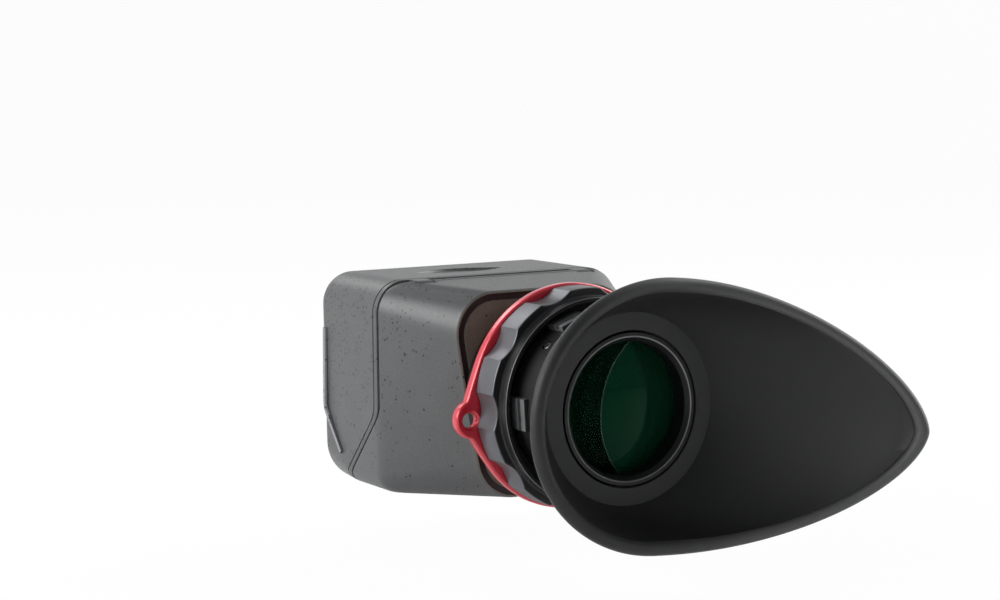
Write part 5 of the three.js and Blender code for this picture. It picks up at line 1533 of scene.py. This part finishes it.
class LoupeMakeBarrel(Operator):
    """Makes the lens barrel with its key lugs and set screws"""

    bl_idname = "loupe.make_barrel"
    bl_label = "Lens barrel"

    def execute(self, context):
        sizes = context.scene.loupe_lens
        low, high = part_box("lens_barrel")
        retainer_low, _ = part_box("retaining_ring")
        step = retainer_low[1] - FIT_GAP
        shoulder = retainer_low[1] - sizes.key_setback
        profile = rounded([
            (sizes.front_bore, high[1]), (sizes.front_radius, high[1]), (sizes.front_radius, step),
            (sizes.barrel_radius, step), (sizes.barrel_radius, low[1]), (sizes.barrel_bore, low[1]),
            (sizes.barrel_bore, shoulder), (sizes.front_bore, shoulder),
        ], BROKEN_EDGE)
        barrel = turned("barrel_body", profile)
        spacer_low, spacer_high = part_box("spacer_ring")
        screw_station = (spacer_low[1] + spacer_high[1]) / 2
        holes = []
        for i in range(sizes.screw_count):
            angle = sizes.screw_phase + math.tau * i / sizes.screw_count
            inside = round_the_axis(sizes.barrel_bore - OVERRUN, angle, screw_station)
            outside = round_the_axis(sizes.barrel_radius + 3 * OVERRUN, angle, screw_station)
            holes.append(rod("hole", inside, outside, sizes.screw_radius + FIT_GAP))
        barrel = cut(barrel, holes)
        keys = with_tree(self.key(sizes, shoulder), repeat_tree(), "keys", Count=sizes.key_count,
                         Phase=sizes.key_phase, Station=0.0, Material=FINISHES["barrel"])
        body = joined("barrel_body", [barrel, keys])
        finished(body, FINISHES["barrel"], "lens", "barrel_black", "lens_barrel")
        # Painted highlight: the tops of the keys get a lighter grey
        refinished(body, "key_top_highlight",
                   lambda face: off_axis(face) > sizes.barrel_radius + sizes.key_height / 2)
        screws = with_tree(self.set_screw(sizes), repeat_tree(), "barrel_screws", Count=sizes.screw_count,
                           Phase=sizes.screw_phase, Station=screw_station, Material=FINISHES["steel"])
        finished(screws, FINISHES["steel"], "lens", "steel", "barrel_screw_1", "barrel_screw_2",
                 "barrel_screw_3")
        return {"FINISHED"}

    @staticmethod
    def key(sizes, front):
        """One key lug at +X, a low block with a groove across it."""
        foot, top = sizes.barrel_radius - OVERRUN, sizes.barrel_radius + sizes.key_height
        half = sizes.key_width / 2
        groove_front = front - sizes.key_groove_front
        lug = block("lug", (foot, front - sizes.key_length, -half), (top, front, half), BEVELLED_EDGE)
        groove = block("groove",
                       (top - sizes.key_groove_depth, groove_front - sizes.key_groove_width, -2 * half),
                       (top + 2 * OVERRUN, groove_front, 2 * half))
        return cut(lug, [groove])

    @staticmethod
    def set_screw(sizes):
        """One set screw along +X: a short thread with a chamfered end and a hexagonal socket."""
        radius = sizes.screw_radius
        outer = sizes.barrel_radius - sizes.screw_sink
        floor = outer - sizes.socket_depth
        point = sizes.screw_point
        rows = [(0, floor), (SOCKET_SHARE, floor), (SOCKET_SHARE, outer), (SCREW_RIM_SHARE, outer),
                (1, outer - sizes.screw_chamfer), (1, point + BROKEN_EDGE), (0, point)]
        rings = []
        for share, out in rows:
            ring = []
            for i in range(SCREW_STEPS):
                swing = math.tau * i / SCREW_STEPS
                reach = share * radius
                if share == SOCKET_SHARE:
                    reach *= math.cos(math.pi / 6) / math.cos((swing % (math.pi / 3)) - math.pi / 6)
                ring.append(Vector((out, reach * math.cos(swing), reach * math.sin(swing))))
            rings.append(ring)
        return skin("set_screw", rings, "open")


class LoupeMakeGlass(Operator):
    """Makes the coated glass and the bevelled ring that holds it"""

    bl_idname = "loupe.make_glass"
    bl_label = "Glass"

    def execute(self, context):
        sizes = context.scene.loupe_lens
        self.lens("field_lens", "field_glass_element", sizes, "field_glass")
        self.lens("eye_lens", "eye_glass_element", sizes, "glass")
        low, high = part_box("lens_retainer")
        outer = (high[0] - low[0]) / 2
        rim = sizes.flange + sizes.bevel_depth
        profile = rounded([
            (sizes.bezel_bore, high[1]), (outer, high[1]), (outer, sizes.flange),
            (sizes.bezel_mouth + sizes.bevel_land, sizes.flange),
            (sizes.bezel_mouth, sizes.flange + FINE_EDGE), (sizes.bezel_bore, rim),
        ], [CRISP_EDGE, FINE_EDGE, EASED_EDGE, *BEZEL_EDGES])
        bezel = turned("glass_bezel", profile)
        finished(bezel, FINISHES["black"], "lens", "tube_black", "lens_retainer")
        # Painted highlight: the edge of the bevel gets a light bare-metal colour
        mouth = sizes.bezel_mouth
        refinished(bezel, "wear_and_edge_highlight",
                   lambda face: mouth < off_axis(face) < mouth + 2 * PAINTED_MARK_REACH and face.center.y < rim)
        return {"FINISHED"}

    @staticmethod
    def lens(node, name, sizes, finish):
        """One element: two domes inside a flat clamped rim, which is ground matt in the real one."""
        low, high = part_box(node)
        edge_radius = (high[0] - low[0]) / 2
        clear = sizes.bezel_bore - FIT_GAP
        rises = {
            "field_lens": (sizes.field_front_rise, sizes.field_rear_rise),
            "eye_lens": (sizes.eye_front_rise, sizes.eye_rear_rise),
        }
        front_rise, rear_rise = rises[node]
        front, rear = high[1] - front_rise, low[1] + rear_rise
        shares = [i / DOME_STEPS for i in range(DOME_STEPS + 1)]
        dome = [(max(clear * share, POLE_RADIUS), 1 - share ** 2) for share in shares]
        profile = [(radius, front + front_rise * rise) for radius, rise in dome]
        profile += [(edge_radius, front), (edge_radius, rear)]
        profile += [(radius, rear - rear_rise * rise) for radius, rise in reversed(dome)]
        element = turned(name, profile, LENS_STEPS, "capped")
        finished(element, FINISHES[finish], "lens", "lens_glass", node)


# Eyecup


def rim_point(cup, flange, turn):
    """Centre line of the rolled rim: round towards the nose, drawn out to a tip at the temple."""
    along, up = math.cos(turn), math.sin(turn)
    outward = along >= 0
    reach = cup.tip_reach * along ** RIM_REACH_POWER if outward else cup.back_reach * along
    height = cup.half_height * math.copysign(abs(up) ** (RIM_HEIGHT_POWER if outward else 1), up)
    if outward:
        share = reach / cup.tip_reach
        swept = cup.side_rise * share - cup.tip_sweep * share * share
    else:
        swept = cup.back_lean * reach / cup.back_reach
    return Vector((reach, flange - cup.rim_depth + swept, height))


def cup_profile(cup, flange, turn):
    """Closed profile of the eyecup in one direction."""
    ray = Vector((math.cos(turn), 0, math.sin(turn)))

    def at(radius, station):
        return ray * radius + Vector((0, station, 0))

    rim = rim_point(cup, flange, turn)
    outward = Vector((rim.x, 0, rim.z)).normalized()
    corner = at(cup.flange_radius, flange)
    sink = (outward + Vector((0, 1, 0))).normalized()
    inner = rim - sink * cup.bead_radius / 2
    wall = []
    for i in range(1, WALL_ROWS):
        share = i / WALL_ROWS
        crease = cup.crease * smoothstep(CREASE_START_SHARE, 1, share)
        wall.append(corner.lerp(inner, share) + sink * (cup.belly * 4 * share * (1 - share) + crease))
    shell = [point + sink * cup.wall for point in reversed(wall)]
    bead = []
    for i in range(BEAD_ROWS + 1):
        swing = mix(BEAD_START, BEAD_END, i / BEAD_ROWS)
        bead.append(rim + outward * cup.bead_radius * math.cos(swing)
                    - Vector((0, cup.bead_radius * math.sin(swing), 0)))
    front = flange + cup.flange_thickness
    end = front + cup.collar_length
    soft = SOFT_EDGE
    return [
        at(cup.flange_bore, flange + EASED_EDGE), at(cup.flange_bore + EASED_EDGE, flange),
        at(cup.flange_radius - cup.flange_round, flange), corner + sink * FINE_EDGE, *wall, *bead, *shell,
        at(cup.collar_radius, front), at(cup.collar_radius, end - soft), at(cup.collar_radius - soft, end),
        at(cup.collar_bore + soft, end), at(cup.collar_bore, end - soft), at(cup.collar_bore, front),
        at(cup.flange_bore, front),
    ]


class LoupeMakeEyecup(Operator):
    """Makes the soft teardrop eyecup and the ring that it turns on"""

    bl_idname = "loupe.make_eyecup"
    bl_label = "Eyecup"

    def execute(self, context):
        cup, sizes = context.scene.loupe_cup, context.scene.loupe_lens
        turn = Matrix.Rotation(cup.turn, 3, "Y")
        rings = [
            [turn @ point for point in cup_profile(cup, sizes.flange, math.tau * i / CUP_STEPS)]
            for i in range(CUP_STEPS)
        ]
        piece = skin("eyecup_rubber", rings)
        finished(piece, FINISHES["rubber"], "cup", "cup_rubber", "eyecup")
        # Painted light: the flat flange round the glass is a lighter grey, a painted reflection, and the
        # rolled rim gets a painted highlight that grows towards the temple
        centres = [turn @ rim_point(cup, sizes.flange, math.tau * (i + 0.5) / CUP_STEPS)
                   for i in range(CUP_STEPS)]
        refinished(piece, "flange", lambda face: face.normal.y < -FLANGE_TURN
                   and abs(face.center.y - sizes.flange) < FLANGE_MARGIN)
        refinished(piece, "rim", lambda face: (
            face.center - centres[face.index // len(rings[0])]).length < cup.bead_radius + FLANGE_MARGIN)
        low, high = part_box("eyecup_ring")
        outer = (high[0] - low[0]) / 2
        bore = sizes.barrel_radius + FIT_GAP
        profile = rounded([(bore, high[1]), (outer, high[1]), (outer, low[1]), (bore, low[1])], SOFT_EDGE)
        finished(turned("cup_carrier_ring", profile), FINISHES["black"], "cup", "tube_black", "eyecup_ring")
        return {"FINISHED"}


# Pieces kept as the CAD has them


class LoupeDressInside(Operator):
    """Gives the pieces that are kept as the solids have them their finishes"""

    bl_idname = "loupe.dress_inside"
    bl_label = "Inner pieces"

    def execute(self, context):
        finishes = {
            "steel": ["hinge_pin", "drive_pin_1", "drive_pin_2", "guide_screw_1", "guide_screw_2",
                      "tube_screw_1", "tube_screw_2", "tube_screw_3", "tube_screw_4"],
            "magnet": ["frame_magnet_left", "frame_magnet_right", "hood_magnet_left", "hood_magnet_right"],
            "inner": ["guide_tube", "neck_sleeve", "retaining_ring", "spacer_ring"],
        }
        tree = self.smoothing_tree()
        for finish, nodes in finishes.items():
            for node in nodes:
                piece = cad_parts[node]
                piece.data.materials.clear()
                piece.data.materials.append(FINISHES[finish])
                modifier = piece.modifiers.new("Smooth", "NODES")
                modifier.node_group = tree
        return {"FINISHED"}

    @staticmethod
    def smoothing_tree():
        """Merges the loose triangles and shades them smooth but for real edges."""
        tree, given, result = new_tree("Smooth round faces", [])
        merged = add_node(tree, "GeometryNodeMergeByDistance",
                          {"Geometry": given.outputs["Geometry"], "Distance": CAD_MERGE})
        edge = add_node(tree, "GeometryNodeInputMeshEdgeAngle")
        soft = add_node(tree, "FunctionNodeCompare", {0: edge, 1: SHARP_ANGLE},
                        data_type="FLOAT", operation="LESS_THAN")
        smooth_faces = add_node(tree, "GeometryNodeSetShadeSmooth", {"Geometry": merged}, domain="FACE")
        smooth_edges = add_node(tree, "GeometryNodeSetShadeSmooth",
                                {"Geometry": smooth_faces, "Shade Smooth": soft},
                                domain="EDGE")
        tree.links.new(smooth_edges.outputs[0], result.inputs[0])
        return tree


# Stage


class LoupeMakeStage(Operator):
    """Makes the floor, the lamps, the world and the camera"""

    bl_idname = "loupe.make_stage"
    bl_label = "Stage"

    def execute(self, context):
        stage, colours = context.scene.loupe_stage, context.scene.loupe_colours
        self.floor(stage, colours)
        self.world(stage, colours)
        for name, place, size, power in LAMPS:
            self.lamp(name, place, LAMP_TARGET, size, power)
        self.camera(stage, context.scene)
        context.scene.view_settings.view_transform = "Standard"
        return {"FINISHED"}

    @staticmethod
    def floor(stage, colours):
        """A pale sheet, swept up behind the object, and a pale board on the right.

        Both show white, and the sheet keeps the object's shadow.
        """
        half, sweep, wall = stage.sheet_half_width, stage.sheet_sweep, stage.sheet_wall
        turn = [math.pi / 2 * i / SWEEP_ROWS for i in range(SWEEP_ROWS + 1)]
        bend = half - sweep
        rows = [(-half, 0)] + [(bend + sweep * math.sin(a), sweep * (1 - math.cos(a))) for a in turn]
        rows.append((half, wall))
        vertices = [(side * half, y, stage.floor_height + z) for y, z in rows for side in (-1, 1)]
        faces = [(2 * i, 2 * i + 1, 2 * i + 3, 2 * i + 2) for i in range(len(rows) - 1)]
        near, far, high = stage.board_near, half, stage.floor_height + stage.board_height
        first = len(vertices)
        vertices += [(stage.board_place, y, z) for y in (near, far) for z in (stage.floor_height, high)]
        faces.append((first, first + 1, first + 3, first + 2))
        mesh = bpy.data.meshes.new("floor")
        mesh.from_pydata(vertices, [], faces)
        floor = linked(mesh, "floor")
        # Painted board, matt. The eye sees plain white and a faint shadow.
        material, tree, place = new_material("Board, painted matt white")
        path = add_node(tree, "ShaderNodeLightPath").outputs
        shade = add_node(tree, "ShaderNodeBsdfDiffuse", {"Color": opaque(colours.floor)})
        glow = add_node(tree, "ShaderNodeEmission", {"Strength": 1.0})
        straight = add_node(tree, "ShaderNodeMath", {
            0: path["Is Camera Ray"], 1: path["Is Transmission Ray"],
        }, operation="MAXIMUM")
        across = add_node(tree, "ShaderNodeVectorMath", {0: place, 1: (1, 1, 0)}, operation="DOT_PRODUCT")
        lit = add_node(tree, "ShaderNodeMath", {0: across.outputs["Value"], 1: 0.0}, operation="GREATER_THAN")
        mirrored = add_node(tree, "ShaderNodeMath", {
            0: path["Is Glossy Ray"], 1: lit,
        }, operation="MULTIPLY")
        seen = add_node(tree, "ShaderNodeMath", {0: straight, 1: mirrored}, operation="MAXIMUM")
        share = add_node(tree, "ShaderNodeMath", {0: seen, 1: stage.white_share}, operation="MULTIPLY")
        both = add_node(tree, "ShaderNodeMixShader", {0: share, 1: shade, 2: glow})
        add_node(tree, "ShaderNodeOutputMaterial", {"Surface": both})
        mesh.materials.append(material)

    @staticmethod
    def world(stage, colours):
        """Plain light from all sides."""
        world = bpy.data.worlds.new("Studio")
        world.use_nodes = True
        tree = world.node_tree
        tree.nodes.clear()
        plain = add_node(tree, "ShaderNodeBackground", {
            "Color": opaque(colours.room), "Strength": stage.room_light,
        })
        add_node(tree, "ShaderNodeOutputWorld", {"Surface": plain})
        bpy.context.scene.world = world

    @staticmethod
    def lamp(name, place, target, size, power):
        """One soft square lamp that looks at the target."""
        light = bpy.data.lights.new(name, "AREA")
        light.shape = "SQUARE"
        light.size = size
        light.energy = power
        lamp = bpy.data.objects.new(name, light)
        lamp.location = place
        lamp.rotation_euler = (Vector(target) - Vector(place)).to_track_quat("-Z", "Y").to_euler()
        bpy.context.scene.collection.objects.link(lamp)

    @staticmethod
    def camera(stage, scene):
        """The camera, turned by azimuth, elevation and roll."""
        a, e = stage.azimuth, stage.elevation
        level = Vector((math.cos(a), math.sin(a), 0))
        back = Vector((math.sin(a) * math.cos(e), -math.cos(a) * math.cos(e), math.sin(e)))
        rise = back.cross(level)
        right = math.cos(stage.roll) * level + math.sin(stage.roll) * rise
        up = math.cos(stage.roll) * rise - math.sin(stage.roll) * level
        data = bpy.data.cameras.new("Camera")
        data.lens = stage.lens
        data.sensor_width = SENSOR_WIDTH
        data.clip_start = CLIP_START
        camera = bpy.data.objects.new("Camera", data)
        turn = Matrix((right, up, back)).transposed().to_4x4()
        camera.matrix_world = Matrix.Translation(stage.camera_place) @ turn
        scene.collection.objects.link(camera)
        scene.camera = camera


class LoupeMakeFinishes(Operator):
    """Makes the materials of all pieces"""

    bl_idname = "loupe.make_finishes"
    bl_label = "Finishes"

    def execute(self, context):
        make_finishes(context.scene.loupe_colours)
        return {"FINISHED"}


SIZE_GROUPS = {
    "loupe_box": LoupeBoxSizes, "loupe_frame": LoupeFrameSizes, "loupe_hood": LoupeHoodSizes,
    "loupe_rings": LoupeRingSizes, "loupe_lens": LoupeLensSizes, "loupe_cup": LoupeCupSizes,
    "loupe_colours": LoupeColours, "loupe_stage": LoupeStage,
}
STEPS = (
    LoupeMakeStage, LoupeMakeFinishes, LoupeMakeFrame, LoupeMakeSeal, LoupeMakeHood, LoupeMakeStrapRing,
    LoupeMakeFocusRing, LoupeMakeBarrel, LoupeMakeGlass, LoupeMakeEyecup, LoupeDressInside,
)


class LoupePanel(Panel):
    """Lists the sizes, colours and steps in the 3D view's sidebar"""

    bl_idname = "VIEW3D_PT_loupe"
    bl_label = "Screen loupe"
    bl_space_type = "VIEW_3D"
    bl_region_type = "UI"
    bl_category = "Loupe"

    def draw(self, context):
        for step in STEPS:
            self.layout.operator(step.bl_idname)
        for name, group in SIZE_GROUPS.items():
            column = self.layout.column(align=True)
            column.label(text=group.__doc__)
            for field in group.__annotations__:
                column.prop(getattr(context.scene, name), field)


def register():
    for group in SIZE_GROUPS.values():
        bpy.utils.register_class(group)
    for name, group in SIZE_GROUPS.items():
        setattr(bpy.types.Scene, name, PointerProperty(type=group))
    for step in STEPS:
        bpy.utils.register_class(step)
    bpy.utils.register_class(LoupePanel)


def unregister():
    bpy.utils.unregister_class(LoupePanel)
    for step in reversed(STEPS):
        bpy.utils.unregister_class(step)
    for name, group in SIZE_GROUPS.items():
        delattr(bpy.types.Scene, name)
        bpy.utils.unregister_class(group)


def main():
    register()
    for step in STEPS:
        area, verb = step.bl_idname.split(".")
        getattr(getattr(bpy.ops, area), verb)()


if __name__ == "__main__":
    main()
